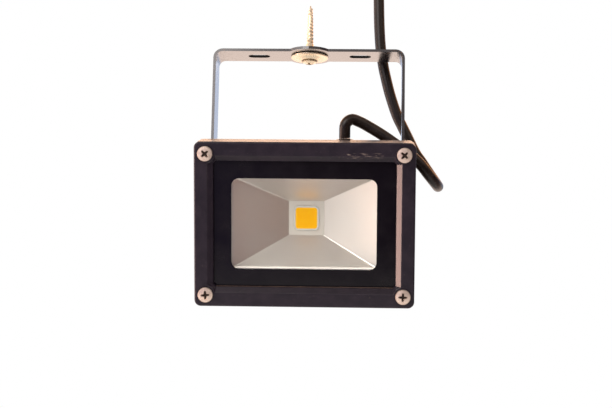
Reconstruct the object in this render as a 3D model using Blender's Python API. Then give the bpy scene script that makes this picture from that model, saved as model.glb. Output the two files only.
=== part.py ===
"""A small die-cast LED floodlight, hung under a beam by its thin steel bracket.

Metres, +Z up. The origin is the middle of the bracket's top face, on the axis of the one fixing screw.
The lamp faces -Y and hangs as in use, tilted down about the two side bolts.
Lamp pieces are drawn in the lamp's own frame: X to the right, Y backwards from the tilt axis, Z up.
A depth is counted backwards from the front face of the front frame.
"""

import math

import bmesh
import bpy
from mathutils import Matrix, Vector

for old in list(bpy.data.objects):
    bpy.data.objects.remove(old, do_unlink=True)

MM = 0.001
GAP = 0.3 * MM

# Lamp as a whole
LAMP_WIDTH = 115.0 * MM
LAMP_HEIGHT = 86.6 * MM
LAMP_CORNER = 3.6 * MM
TILT = math.radians(18.5)
AXIS_DEPTH = 32.0 * MM

# Front frame
FRAME_THICK = 11.3 * MM
FRAME_ROUND = 1.4 * MM
RIM_FLAT_X = 6.9 * MM
RIM_FLAT_Z = 7.2 * MM
RIM_SLOPE = 3.0 * MM
SLOPE_DEPTH = 4.4 * MM
LIP_DEPTH = 5.2 * MM
SCREW_INSET_X = 5.95 * MM
SCREW_INSET_Z = 6.25 * MM
BOSS_FRONT = 5.9 * MM
BOSS_BACK = 8.4 * MM
POCKET_REACH = 1.8 * MM
POCKET_BOSS = 5.0 * MM

# Glass and its seal
GLASS_THICK = 4.0 * MM
GLASS_PLAY = 0.4 * MM
SEAL_WIDTH = 2.2 * MM
SEAL_INSET = 0.7 * MM
SEAL_GROOVE = 1.4 * MM

# Housing: the overhangs are how far its flange stands out round the body
FLANGE_THICK = 4.5 * MM
OVERHANG_X = 12.1 * MM
OVERHANG_Z = 11.5 * MM
BODY_CORNER = 6.0 * MM
BODY_DRAFT = 2.4 * MM
BODY_DEPTH = 41.0 * MM
WALL = 4.0 * MM
BACK_WALL = 3.6 * MM
LEDGE_STEP = 1.5 * MM
LEDGE_WIDTH = 2.2 * MM
CAVITY_CORNER = 4.0 * MM
CAVITY_DRAFT = 1.6 * MM
FIN_COUNT = 11
FIN_PITCH = 7.8 * MM
FIN_ROOT = 1.9 * MM
FIN_TIP = 1.2 * MM
FIN_HEIGHT = 12.0 * MM
CORNER_BOSS_LENGTH = 2.5 * MM
CORNER_BOSS_RADIUS = 5.0 * MM
AXLE_BOSS_RISE = 4.8 * MM
AXLE_BOSS_RADIUS = 7.0 * MM

# Reflector
REFLECTOR_PLAY = 0.4 * MM
REFLECTOR_RIM_X = 7.0 * MM
REFLECTOR_RIM_Z = 6.3 * MM
OPENING_CORNER = 2.5 * MM
APERTURE_HALF_X = 9.5 * MM
APERTURE_HALF_Z = 9.3 * MM
APERTURE_CORNER = 0.7 * MM
REFLECTOR_SHEET = 0.8 * MM

# Light source, on a pedestal that stands on the housing's floor
PEDESTAL_HEIGHT = 6.5 * MM
PLATE_HALF_Z = 10.0 * MM
PLATE_THICK = 1.2 * MM
PLATE_MARGIN = 3.0 * MM
PLATE_SCREW_PLAY = 0.72 * MM
LEAD_PLAY = 1.0 * MM
PAD_THICK = 0.4 * MM
EMITTER_HALF_X = 5.7 * MM
EMITTER_HALF_Z = 5.6 * MM
EMITTER_CORNER = 1.0 * MM
EMITTER_THICK = 0.6 * MM
DAM_WIDTH = 0.9 * MM
DAM_THICK = 0.8 * MM

# Driver, beside the left wall of the cavity's floor
DRIVER_HALF_X = 7.0 * MM
DRIVER_HEIGHT = 14.7 * MM
DRIVER_SIDE_PLAY = 1.0 * MM
DRIVER_END_PLAY = 0.7 * MM
DRIVER_WALL = 1.2 * MM
DRIVER_EAR = 5.0 * MM
DRIVER_EAR_THICK = 2.0 * MM

# Earth point, in the lower right corner of the cavity's floor
EARTH_IN_X = 9.8 * MM
EARTH_IN_Z = 9.2 * MM
EARTH_POST = 4.0 * MM
EARTH_POST_RADIUS = 3.2 * MM
TERMINAL_THICK = 0.5 * MM

# Cable gland, on the top side
GLAND_X = 20.1 * MM
GLAND_DEPTH = 29.0 * MM
GLAND_SEAT_RISE = 0.4 * MM
GLAND_SEAT_RADIUS = 9.0 * MM
GLAND_THREAD = 5.9 * MM
GLAND_BORE = 3.9 * MM
GLAND_HEX = 7.0 * MM
GLAND_COLLAR = 2.6 * MM
GLAND_RING_THICK = 0.9 * MM
GLAND_NUT_HEIGHT = 5.6 * MM
GLAND_NUT_WALL = 1.2 * MM
GLAND_NUT_RIBS = 12
GLAND_NUT_RIB_RISE = 0.5 * MM
GLAND_NECK = 3.8 * MM

# Fasteners: shank radius, head radius, head height
M5 = (2.4 * MM, 4.5 * MM, 3.4 * MM)
M4 = (1.9 * MM, 4.1 * MM, 2.3 * MM)
M3 = (1.4 * MM, 2.6 * MM, 1.7 * MM)
HEAD_DOME = 0.35

# Bracket: its legs stand a gap outside the housing's side bosses
SHEET = 1.5 * MM
STRAP = 20.0 * MM
BEND = 3.5 * MM
AXIS_DROP = 90.8 * MM
SLOT_SPACING = 55.4 * MM
SLOT_LENGTH = 12.0 * MM
SLOT_WIDTH = 5.6 * MM
EAR_WIDTH = 25.0 * MM
EAR_DEPTH = 31.0 * MM
CENTRE_HOLE = 3.1 * MM

# Side bolts and their washers
FLAT_WASHER = (5.2 * MM, 1.0 * MM)
SPRING_WASHER = (4.3 * MM, 1.3 * MM)
BOLT_REACH = 8.2 * MM

# Fixing screw and its dished washer
WASHER_RADIUS = 10.2 * MM
WASHER_THICK = 0.9 * MM
WASHER_RISE = 1.3 * MM
WOOD_SHANK = 2.1 * MM
WOOD_HEAD = 4.1 * MM
WOOD_LENGTH = 32.0 * MM

# Cable: outer and core radii, and its route in world millimetres, gland first
CABLE_RADIUS = 3.0 * MM
CORE_RADIUS = 1.05 * MM
LEAD_RADIUS = 0.8 * MM
CORE_LENGTH = 22.0 * MM
FERRULE_LENGTH = 8.0 * MM
CABLE_ROUTE = [
    (20.5, -18.7, -44.0),
    (23.7, -18.3, -41.2),
    (28.2, -17.2, -42.4),
    (32.3, -16.4, -44.4),
    (39.5, -15.6, -48.6),
    (46.9, -15.0, -53.6),
    (53.8, -14.4, -58.6),
    (60.2, -13.0, -63.9),
    (65.1, -10.2, -69.4),
    (68.8, -4.9, -72.8),
    (70.4, 2.5, -73.0),
    (69.6, 10.0, -69.7),
    (66.5, 15.6, -63.7),
    (62.2, 17.8, -56.6),
    (58.5, 18.2, -51.1),
    (54.3, 18.0, -42.6),
    (51.1, 17.6, -36.1),
    (48.1, 17.2, -29.8),
    (44.2, 16.2, -18.1),
    (41.4, 15.4, -6.9),
    (40.2, 15.0, -0.9),
    (38.9, 14.6, 7.9),
    (38.1, 14.4, 19.4),
    (37.7, 14.4, 32.2),
    (37.4, 14.4, 48.6),
    (37.1, 14.4, 64.0),
]

# What follows from the sizes above
HALF_X = LAMP_WIDTH / 2
HALF_Z = LAMP_HEIGHT / 2
SCREW_X = HALF_X - SCREW_INSET_X
SCREW_Z = HALF_Z - SCREW_INSET_Z
FLANGE_FRONT = FRAME_THICK + GAP
FLANGE_BACK = FLANGE_FRONT + FLANGE_THICK
CORNER_BOSS_DEPTH = FLANGE_BACK + CORNER_BOSS_LENGTH
BODY_HALF_X = HALF_X - OVERHANG_X
BODY_HALF_Z = HALF_Z - OVERHANG_Z
LEDGE_DEPTH = FLANGE_FRONT + LEDGE_STEP
FLOOR_DEPTH = BODY_DEPTH - BACK_WALL
FLOOR_HALF_X = BODY_HALF_X - WALL - CAVITY_DRAFT
FLOOR_HALF_Z = BODY_HALF_Z - WALL - CAVITY_DRAFT
PEDESTAL_TOP = FLOOR_DEPTH - PEDESTAL_HEIGHT
SOURCE_DEPTH = PEDESTAL_TOP - PAD_THICK - PLATE_THICK - 2 * GAP
REFLECTOR_DEPTH = LEDGE_DEPTH - GAP - REFLECTOR_SHEET
REFLECTOR_HALF_X = BODY_HALF_X - WALL + LEDGE_WIDTH - REFLECTOR_PLAY
REFLECTOR_HALF_Z = BODY_HALF_Z - WALL + LEDGE_WIDTH - REFLECTOR_PLAY
OPENING_HALF_X = REFLECTOR_HALF_X - REFLECTOR_RIM_X
OPENING_HALF_Z = REFLECTOR_HALF_Z - REFLECTOR_RIM_Z
SLOPE_X = (OPENING_HALF_X - APERTURE_HALF_X) / (SOURCE_DEPTH - REFLECTOR_DEPTH)
SLOPE_Z = (OPENING_HALF_Z - APERTURE_HALF_Z) / (SOURCE_DEPTH - REFLECTOR_DEPTH)
SHEET_IN_DEPTH = REFLECTOR_SHEET * math.hypot(1, 1 / SLOPE_X)
HEAD_EDGE = M3[2] * (1 - HEAD_DOME)
PLATE_SCREW_ROOM = SLOPE_X * (GAP + HEAD_EDGE + PLATE_SCREW_PLAY + SHEET_IN_DEPTH)
PLATE_SCREW_X = APERTURE_HALF_X + M3[1] + PLATE_SCREW_ROOM
PLATE_HALF_X = PLATE_SCREW_X + PLATE_MARGIN
DRIVER_X = -(FLOOR_HALF_X - DRIVER_SIDE_PLAY - DRIVER_HALF_X)
DRIVER_HALF_Z = FLOOR_HALF_Z - DRIVER_END_PLAY - DRIVER_EAR
DRIVER_TOP_DEPTH = FLOOR_DEPTH - GAP - DRIVER_HEIGHT
EARTH_X = FLOOR_HALF_X - EARTH_IN_X
EARTH_Z = -(FLOOR_HALF_Z - EARTH_IN_Z)
GLAND_SEAT = BODY_HALF_Z + GLAND_SEAT_RISE
BOSS_FACE = BODY_HALF_X + AXLE_BOSS_RISE
LEG_INSIDE = BOSS_FACE + GAP
BRACKET_WIDTH = 2 * (LEG_INSIDE + SHEET)


def material(name, colour, roughness, metallic=0.0, **more):
    made = bpy.data.materials.new(name)
    made.use_nodes = True
    shader = made.node_tree.nodes["Principled BSDF"]
    shader.inputs["Base Color"].default_value = (*colour, 1.0)
    shader.inputs["Roughness"].default_value = roughness
    shader.inputs["Metallic"].default_value = metallic
    for socket, value in more.items():
        shader.inputs[socket].default_value = value
    return made


def empty(name, place=(0, 0, 0), turn=(0, 0, 0), parent=None):
    made = bpy.data.objects.new(name, None)
    made.location = place
    made.rotation_euler = turn
    made.parent = parent
    bpy.context.scene.collection.objects.link(made)
    return made


def shade(mesh, angle=40):
    mesh.shade_smooth()
    mesh.set_sharp_from_angle(angle=math.radians(angle))


def from_bmesh(name, bm, looks=None, parent=None):
    """Link a closed bmesh as an object, its faces pointing outwards."""
    bmesh.ops.remove_doubles(bm, verts=bm.verts, dist=1e-7)
    bmesh.ops.recalc_face_normals(bm, faces=bm.faces)
    mesh = bpy.data.meshes.new(name)
    bm.to_mesh(mesh)
    bm.free()
    if bpy.data.objects.get(name):
        raise ValueError(f"two objects are named {name}")
    made = bpy.data.objects.new(name, mesh)
    if looks:
        mesh.materials.append(looks)
    made.parent = parent
    bpy.context.scene.collection.objects.link(made)
    shade(mesh)
    return made


def add_loft(bm, rings, ring_shaped=False):
    """Skin rings of equally many points. The ends are capped, or joined to each other in a ring shape."""
    loops = [[bm.verts.new(point) for point in ring] for ring in rings]
    count = len(loops[0])
    pairs = list(zip(loops, loops[1:]))
    if ring_shaped:
        pairs.append((loops[-1], loops[0]))
    for one, other in pairs:
        for k in range(count):
            after = (k + 1) % count
            bm.faces.new((one[k], one[after], other[after], other[k]))
    if not ring_shaped:
        bm.faces.new(loops[0])
        bm.faces.new(loops[-1])


def loft(name, rings, looks=None, parent=None, ring_shaped=False):
    bm = bmesh.new()
    add_loft(bm, rings, ring_shaped)
    return from_bmesh(name, bm, looks, parent)


def add_turned(bm, profile, steps, place=Matrix.Identity(4), phase=0.0):
    """Turn a profile of (radius, height) about Z, both of its ends on the axis."""
    bottom = bm.verts.new(place @ Vector((0, 0, profile[0][1])))
    top = bm.verts.new(place @ Vector((0, 0, profile[-1][1])))
    rings = []
    for radius, height in profile[1:-1]:
        ring = []
        for k in range(steps):
            angle = phase + 2 * math.pi * k / steps
            point = Vector((radius * math.cos(angle), radius * math.sin(angle), height))
            ring.append(bm.verts.new(place @ point))
        rings.append(ring)
    for k in range(steps):
        after = (k + 1) % steps
        bm.faces.new((bottom, rings[0][after], rings[0][k]))
        bm.faces.new((top, rings[-1][k], rings[-1][after]))
        for one, other in zip(rings, rings[1:]):
            bm.faces.new((one[k], one[after], other[after], other[k]))


def turned(name, profile, steps, looks=None, parent=None, place=Matrix.Identity(4)):
    bm = bmesh.new()
    add_turned(bm, profile, steps, place)
    return from_bmesh(name, bm, looks, parent)


def turned_ring(name, profile, steps, looks=None, parent=None, place=Matrix.Identity(4)):
    """Turn a closed outline of (radius, height) about Z, which leaves a bore."""
    rings = []
    for k in range(steps):
        angle = 2 * math.pi * k / steps
        ring = [
            place @ Vector((radius * math.cos(angle), radius * math.sin(angle), height))
            for radius, height in profile
        ]
        rings.append(ring)
    return loft(name, rings, looks, parent, ring_shaped=True)


def rod_profile(radius, low, high):
    return [(0, low), (radius, low), (radius, high), (0, high)]


def cutter(made):
    made.hide_render = True
    made.display_type = "WIRE"
    return made


def combine(target, operation, other):
    step = target.modifiers.new(other.name, "BOOLEAN")
    step.operation = operation
    step.solver = "EXACT"
    step.object = cutter(other)


def back(depth):
    """The lamp's Y of a depth behind the front face."""
    return depth - AXIS_DEPTH


def rounded_rectangle(half_x, half_z, corner, depth, steps=4):
    """A ring of points round a rounded rectangle, in the lamp's frame."""
    ring = []
    for quarter, (side_x, side_z) in enumerate(((1, 1), (-1, 1), (-1, -1), (1, -1))):
        for k in range(steps + 1):
            angle = math.radians(90) * (quarter + k / steps)
            ring.append(
                Vector(
                    (
                        side_x * (half_x - corner) + corner * math.cos(angle),
                        back(depth),
                        side_z * (half_z - corner) + corner * math.sin(angle),
                    )
                )
            )
    return ring


def bossed_rectangle(half_x, half_z, boss, depth, steps=6):
    """A rectangle whose corners are cut by round bosses about the frame's screws."""
    start = math.asin((SCREW_X - half_x) / boss)
    end = math.radians(90) - math.asin((SCREW_Z - half_z) / boss)
    quarter = []
    for k in range(steps + 1):
        angle = start + (end - start) * k / steps
        quarter.append((SCREW_X - boss * math.sin(angle), SCREW_Z - boss * math.cos(angle)))
    ring = []
    for side_x, side_z in ((1, 1), (-1, 1), (-1, -1), (1, -1)):
        points = quarter if side_x * side_z > 0 else quarter[::-1]
        ring += [Vector((side_x * x, back(depth), side_z * z)) for x, z in points]
    return ring


def along_x(x, depth=AXIS_DEPTH, z=0.0, flip=1):
    """A place whose Z axis runs outwards along X, to the right or, with flip -1, to the left."""
    turn = Matrix.Rotation(math.radians(90) * flip, 4, "Y")
    return Matrix.Translation((x, back(depth), z)) @ turn


def facing_front(x, z, depth):
    """A place whose Z axis points out of the lamp's front."""
    return Matrix.Translation((x, back(depth), z)) @ Matrix.Rotation(math.radians(90), 4, "X")


def upward(x, depth, z):
    return Matrix.Translation((x, back(depth), z))


def smooth_points(route, spacing):
    """Points at an even spacing on a smooth curve through the route's own points."""
    knots = [Vector(point) for point in route]
    knots = [2 * knots[0] - knots[1]] + knots + [2 * knots[-1] - knots[-2]]
    dense = []
    for a, b, c, d in zip(knots, knots[1:], knots[2:], knots[3:]):
        for k in range(24):
            t = k / 24
            dense.append(
                0.5
                * (
                    2 * b
                    + (c - a) * t
                    + (2 * a - 5 * b + 4 * c - d) * t**2
                    + (3 * b - a - 3 * c + d) * t**3
                )
            )
    dense.append(knots[-2])
    reach = [0.0]
    for one, other in zip(dense, dense[1:]):
        reach.append(reach[-1] + (other - one).length)
    count = max(2, round(reach[-1] / spacing))
    points = []
    at = 0
    for k in range(count + 1):
        want = reach[-1] * k / count
        while at < len(reach) - 2 and reach[at + 1] < want:
            at += 1
        share = (want - reach[at]) / max(reach[at + 1] - reach[at], 1e-12)
        points.append(dense[at].lerp(dense[at + 1], min(1.0, share)))
    return points, reach[-1]


def tube(name, points, radius, looks, resolution=2, parent=None):
    curve = bpy.data.curves.new(name, "CURVE")
    curve.dimensions = "3D"
    curve.bevel_depth = radius
    curve.bevel_resolution = resolution
    curve.use_fill_caps = True
    spline = curve.splines.new("POLY")
    spline.points.add(len(points) - 1)
    for point, place in zip(spline.points, points):
        point.co = (*place, 1.0)
    curve.materials.append(looks)
    made = bpy.data.objects.new(name, curve)
    made.parent = parent
    bpy.context.scene.collection.objects.link(made)
    return made


def screw_profile(size, length):
    """Pan head from Z 0 upwards, shank downwards."""
    shank, head, height = size
    dome = HEAD_DOME
    return [
        (0, -length),
        (shank * 0.7, -length),
        (shank, -length + shank * 0.6),
        (shank, 0),
        (head, 0),
        (head, height * (1 - dome)),
        (head * 0.86, height * (1 - dome * 0.35)),
        (head * 0.5, height),
        (0, height),
    ]


def make_front_frame(looks, lamp):
    rounds = []
    for k in range(4):
        angle = math.radians(90) * k / 3
        inset = FRAME_ROUND * (1 - math.sin(angle))
        depth = FRAME_ROUND * (1 - math.cos(angle))
        rounds.append((inset, depth))
    rings = [
        rounded_rectangle(HALF_X - inset, HALF_Z - inset, LAMP_CORNER - inset, depth, 5)
        for inset, depth in rounds + [(0, FRAME_THICK)]
    ]
    frame = loft("front_frame", rings, looks, lamp)

    flat_x = HALF_X - RIM_FLAT_X
    flat_z = HALF_Z - RIM_FLAT_Z
    lip_x = flat_x - RIM_SLOPE
    lip_z = flat_z - RIM_SLOPE
    grow = RIM_SLOPE / SLOPE_DEPTH
    ahead = 1.0 * MM
    opening = loft(
        "frame_opening",
        [
            bossed_rectangle(
                flat_x + grow * ahead,
                flat_z + grow * ahead,
                BOSS_FRONT - (BOSS_BACK - BOSS_FRONT) * ahead / SLOPE_DEPTH,
                -ahead,
            ),
            bossed_rectangle(lip_x, lip_z, BOSS_BACK, SLOPE_DEPTH),
            bossed_rectangle(lip_x, lip_z, BOSS_BACK, LIP_DEPTH + ahead),
        ],
        parent=lamp,
    )
    combine(frame, "DIFFERENCE", opening)
    pocket = loft(
        "glass_pocket",
        [
            bossed_rectangle(lip_x + POCKET_REACH, lip_z + POCKET_REACH, POCKET_BOSS, depth)
            for depth in (LIP_DEPTH, FRAME_THICK + ahead)
        ],
        parent=lamp,
    )
    combine(frame, "DIFFERENCE", pocket)
    bm = bmesh.new()
    for side_x in (-1, 1):
        for side_z in (-1, 1):
            place = facing_front(side_x * SCREW_X, side_z * SCREW_Z, 0)
            add_turned(bm, rod_profile(M4[0] + GAP, -FRAME_THICK - ahead, ahead), 12, place)
    combine(frame, "DIFFERENCE", from_bmesh("frame_screw_holes", bm, parent=lamp))

    for number, (side_x, side_z) in enumerate(((-1, 1), (1, 1), (-1, -1), (1, -1)), start=1):
        turned(
            f"frame_screw_{number}",
            screw_profile(M4, CORNER_BOSS_DEPTH - 2.0 * MM),
            16,
            STEEL,
            lamp,
            facing_front(side_x * SCREW_X, side_z * SCREW_Z, -GAP),
        )
    return lip_x, lip_z


def make_glass(lamp, lip_x, lip_z):
    reach = POCKET_REACH - GLASS_PLAY
    front = LIP_DEPTH + GAP
    rear = front + GLASS_THICK
    half_x = lip_x + reach
    half_z = lip_z + reach
    boss = POCKET_BOSS + GLASS_PLAY
    edge = 0.3 * MM
    loft(
        "glass",
        [
            bossed_rectangle(half_x - edge, half_z - edge, boss + edge, front),
            bossed_rectangle(half_x, half_z, boss, front + edge),
            bossed_rectangle(half_x, half_z, boss, rear - edge),
            bossed_rectangle(half_x - edge, half_z - edge, boss + edge, rear),
        ],
        GLASS,
        lamp,
    )
    outer_x = half_x - SEAL_INSET
    outer_z = half_z - SEAL_INSET
    outer_boss = boss + SEAL_INSET
    seal_front = rear + GAP
    seal_rear = FLANGE_FRONT + SEAL_GROOVE - GAP
    loft(
        "glass_gasket",
        [
            bossed_rectangle(outer_x, outer_z, outer_boss, seal_front),
            bossed_rectangle(outer_x, outer_z, outer_boss, seal_rear),
            bossed_rectangle(
                outer_x - SEAL_WIDTH, outer_z - SEAL_WIDTH, outer_boss + SEAL_WIDTH, seal_rear
            ),
            bossed_rectangle(
                outer_x - SEAL_WIDTH, outer_z - SEAL_WIDTH, outer_boss + SEAL_WIDTH, seal_front
            ),
        ],
        SILICONE,
        lamp,
        ring_shaped=True,
    )
    return outer_x, outer_z, outer_boss


def cavity_rings(front_depth, play=0.0):
    """The main cavity, from the reflector's ledge down to its floor."""
    half_x = BODY_HALF_X - WALL - play
    half_z = BODY_HALF_Z - WALL - play
    return [
        rounded_rectangle(half_x, half_z, CAVITY_CORNER, front_depth),
        rounded_rectangle(
            half_x - CAVITY_DRAFT, half_z - CAVITY_DRAFT, CAVITY_CORNER, FLOOR_DEPTH
        ),
    ]


def fin(bm, x, root_half_z):
    """One upright cooling fin, thinner at its tip, with sloping ends."""
    root = BODY_DEPTH - BACK_WALL / 2
    tip = BODY_DEPTH + FIN_HEIGHT
    shoulder = tip - FIN_HEIGHT * 0.4
    outline = [
        (root, -root_half_z, FIN_ROOT),
        (shoulder, -root_half_z, (FIN_ROOT + FIN_TIP) / 2),
        (tip, -root_half_z + FIN_HEIGHT * 0.35, FIN_TIP),
        (tip, root_half_z - FIN_HEIGHT * 0.35, FIN_TIP),
        (shoulder, root_half_z, (FIN_ROOT + FIN_TIP) / 2),
        (root, root_half_z, FIN_ROOT),
    ]
    rings = [
        [Vector((x + side * thick / 2, back(depth), z)) for depth, z, thick in outline]
        for side in (-1, 1)
    ]
    add_loft(bm, rings)


def make_housing(looks, lamp, seal):
    body_back_x = BODY_HALF_X - BODY_DRAFT
    body_back_z = BODY_HALF_Z - BODY_DRAFT
    edge = 0.8 * MM
    housing = loft(
        "housing",
        [
            rounded_rectangle(HALF_X, HALF_Z, LAMP_CORNER, FLANGE_FRONT, 5),
            rounded_rectangle(HALF_X, HALF_Z, LAMP_CORNER, FLANGE_BACK - edge, 5),
            rounded_rectangle(
                HALF_X - edge, HALF_Z - edge, LAMP_CORNER - edge, FLANGE_BACK, 5
            ),
        ],
        looks,
        lamp,
    )
    inside = FLANGE_FRONT + FLANGE_THICK / 3
    rear_round = 2.0 * MM
    body = loft(
        "housing_body",
        [
            rounded_rectangle(BODY_HALF_X, BODY_HALF_Z, BODY_CORNER, inside),
            rounded_rectangle(
                body_back_x, body_back_z, BODY_CORNER, BODY_DEPTH - rear_round
            ),
            rounded_rectangle(
                body_back_x - rear_round,
                body_back_z - rear_round,
                BODY_CORNER - rear_round,
                BODY_DEPTH,
            ),
        ],
        parent=lamp,
    )
    combine(housing, "UNION", body)

    bm = bmesh.new()
    for k in range(FIN_COUNT):
        x = (k - (FIN_COUNT - 1) / 2) * FIN_PITCH
        fin(bm, x, body_back_z - rear_round)
    combine(housing, "UNION", from_bmesh("housing_fins", bm, parent=lamp))

    bm = bmesh.new()
    boss = rod_profile(CORNER_BOSS_RADIUS, -CORNER_BOSS_DEPTH, -FLANGE_FRONT - 1.2 * MM)
    for side_x in (-1, 1):
        for side_z in (-1, 1):
            add_turned(bm, boss, 16, facing_front(side_x * SCREW_X, side_z * SCREW_Z, 0))
    combine(housing, "UNION", from_bmesh("housing_corner_bosses", bm, parent=lamp))

    bm = bmesh.new()
    sink = AXLE_BOSS_RISE + 0.8 * WALL
    for flip in (-1, 1):
        place = along_x(flip * BOSS_FACE, flip=flip)
        add_turned(bm, rod_profile(AXLE_BOSS_RADIUS, -sink, 0), 24, place)
    combine(housing, "UNION", from_bmesh("housing_axle_bosses", bm, parent=lamp))

    seat = turned(
        "housing_gland_seat",
        rod_profile(GLAND_SEAT_RADIUS, BODY_HALF_Z - 0.85 * WALL, GLAND_SEAT),
        20,
        parent=lamp,
        place=upward(GLAND_X, GLAND_DEPTH, 0),
    )
    combine(housing, "UNION", seat)

    combine(housing, "DIFFERENCE", loft("housing_cavity", cavity_rings(LEDGE_DEPTH - 0.1 * MM), parent=lamp))
    ledge = loft(
        "housing_ledge",
        [
            rounded_rectangle(
                BODY_HALF_X - WALL + LEDGE_WIDTH,
                BODY_HALF_Z - WALL + LEDGE_WIDTH,
                CAVITY_CORNER,
                depth,
            )
            for depth in (FLANGE_FRONT - 1.0 * MM, LEDGE_DEPTH)
        ],
        parent=lamp,
    )
    combine(housing, "DIFFERENCE", ledge)
    outer_x, outer_z, outer_boss = seal
    inner = SEAL_WIDTH + GAP
    groove = loft(
        "housing_seal_groove",
        [
            bossed_rectangle(outer_x + GAP, outer_z + GAP, outer_boss - GAP, FLANGE_FRONT - 1.0 * MM),
            bossed_rectangle(outer_x + GAP, outer_z + GAP, outer_boss - GAP, FLANGE_FRONT + SEAL_GROOVE),
            bossed_rectangle(
                outer_x - inner, outer_z - inner, outer_boss + inner, FLANGE_FRONT + SEAL_GROOVE
            ),
            bossed_rectangle(
                outer_x - inner, outer_z - inner, outer_boss + inner, FLANGE_FRONT - 1.0 * MM
            ),
        ],
        parent=lamp,
        ring_shaped=True,
    )
    combine(housing, "DIFFERENCE", groove)

    bm = bmesh.new()
    pedestal_x = PLATE_HALF_X + 1.0 * MM
    pedestal_z = PLATE_HALF_Z + 1.0 * MM
    add_loft(
        bm,
        [
            rounded_rectangle(pedestal_x, pedestal_z, 1.5 * MM, PEDESTAL_TOP, 2),
            rounded_rectangle(pedestal_x, pedestal_z, 1.5 * MM, FLOOR_DEPTH + 1.0 * MM, 2),
        ],
    )
    post = rod_profile(EARTH_POST_RADIUS, -FLOOR_DEPTH - 1.0 * MM, -FLOOR_DEPTH + EARTH_POST)
    add_turned(bm, post, 12, facing_front(EARTH_X, EARTH_Z, 0))
    nub_low = -AXLE_BOSS_RISE - WALL - 2.2 * MM
    nub = rod_profile(AXLE_BOSS_RADIUS - 1.5 * MM, nub_low, -AXLE_BOSS_RISE - 0.3 * WALL)
    for flip in (-1, 1):
        add_turned(bm, nub, 16, along_x(flip * BOSS_FACE, flip=flip))
    combine(housing, "UNION", from_bmesh("housing_inner_bosses", bm, parent=lamp))

    bm = bmesh.new()
    hole = rod_profile(M4[0] + GAP, -CORNER_BOSS_DEPTH + 1.2 * MM, -FLANGE_FRONT + 1.0 * MM)
    for side_x in (-1, 1):
        for side_z in (-1, 1):
            add_turned(bm, hole, 12, facing_front(side_x * SCREW_X, side_z * SCREW_Z, 0))
    axle = rod_profile(M5[0] + GAP, -BOLT_REACH - 0.8 * MM, 1.0 * MM)
    for flip in (-1, 1):
        add_turned(bm, axle, 16, along_x(flip * BOSS_FACE, flip=flip))
    small = M3[0] + GAP
    for side in (-1, 1):
        add_turned(
            bm,
            rod_profile(small, -5.4 * MM, 1.0 * MM),
            10,
            facing_front(side * PLATE_SCREW_X, 0, PEDESTAL_TOP),
        )
        add_turned(
            bm,
            rod_profile(small, -2.6 * MM, 1.0 * MM),
            10,
            facing_front(DRIVER_X, side * (DRIVER_HALF_Z + DRIVER_EAR / 2), FLOOR_DEPTH),
        )
    post_top = FLOOR_DEPTH - EARTH_POST
    add_turned(
        bm, rod_profile(small, -5.0 * MM, 1.0 * MM), 10, facing_front(EARTH_X, EARTH_Z, post_top)
    )
    hole_low = BODY_HALF_Z - WALL - 7.8 * MM
    gland_hole = rod_profile(GLAND_THREAD + GAP, hole_low, GLAND_SEAT + 1.0 * MM)
    add_turned(bm, gland_hole, 20, upward(GLAND_X, GLAND_DEPTH, 0))
    combine(housing, "DIFFERENCE", from_bmesh("housing_holes", bm, parent=lamp))


def make_reflector(lamp):
    thick_x = REFLECTOR_SHEET * math.hypot(1, SLOPE_X)
    thick_z = REFLECTOR_SHEET * math.hypot(1, SLOPE_Z)
    bottom = SOURCE_DEPTH - GAP
    under = LEDGE_DEPTH - GAP
    flange_x = REFLECTOR_HALF_X
    flange_z = REFLECTOR_HALF_Z
    flange_corner = CAVITY_CORNER - REFLECTOR_PLAY
    drop = under - REFLECTOR_DEPTH
    corner = OPENING_CORNER
    loft(
        "reflector",
        [
            rounded_rectangle(APERTURE_HALF_X, APERTURE_HALF_Z, APERTURE_CORNER, bottom),
            rounded_rectangle(OPENING_HALF_X, OPENING_HALF_Z, corner, REFLECTOR_DEPTH),
            rounded_rectangle(flange_x, flange_z, flange_corner, REFLECTOR_DEPTH),
            rounded_rectangle(flange_x, flange_z, flange_corner, under),
            rounded_rectangle(
                OPENING_HALF_X + thick_x - SLOPE_X * drop,
                OPENING_HALF_Z + thick_z - SLOPE_Z * drop,
                corner,
                under,
            ),
            rounded_rectangle(
                APERTURE_HALF_X + thick_x, APERTURE_HALF_Z + thick_z, APERTURE_CORNER, bottom
            ),
        ],
        ALUMINIUM,
        lamp,
        ring_shaped=True,
    )


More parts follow.
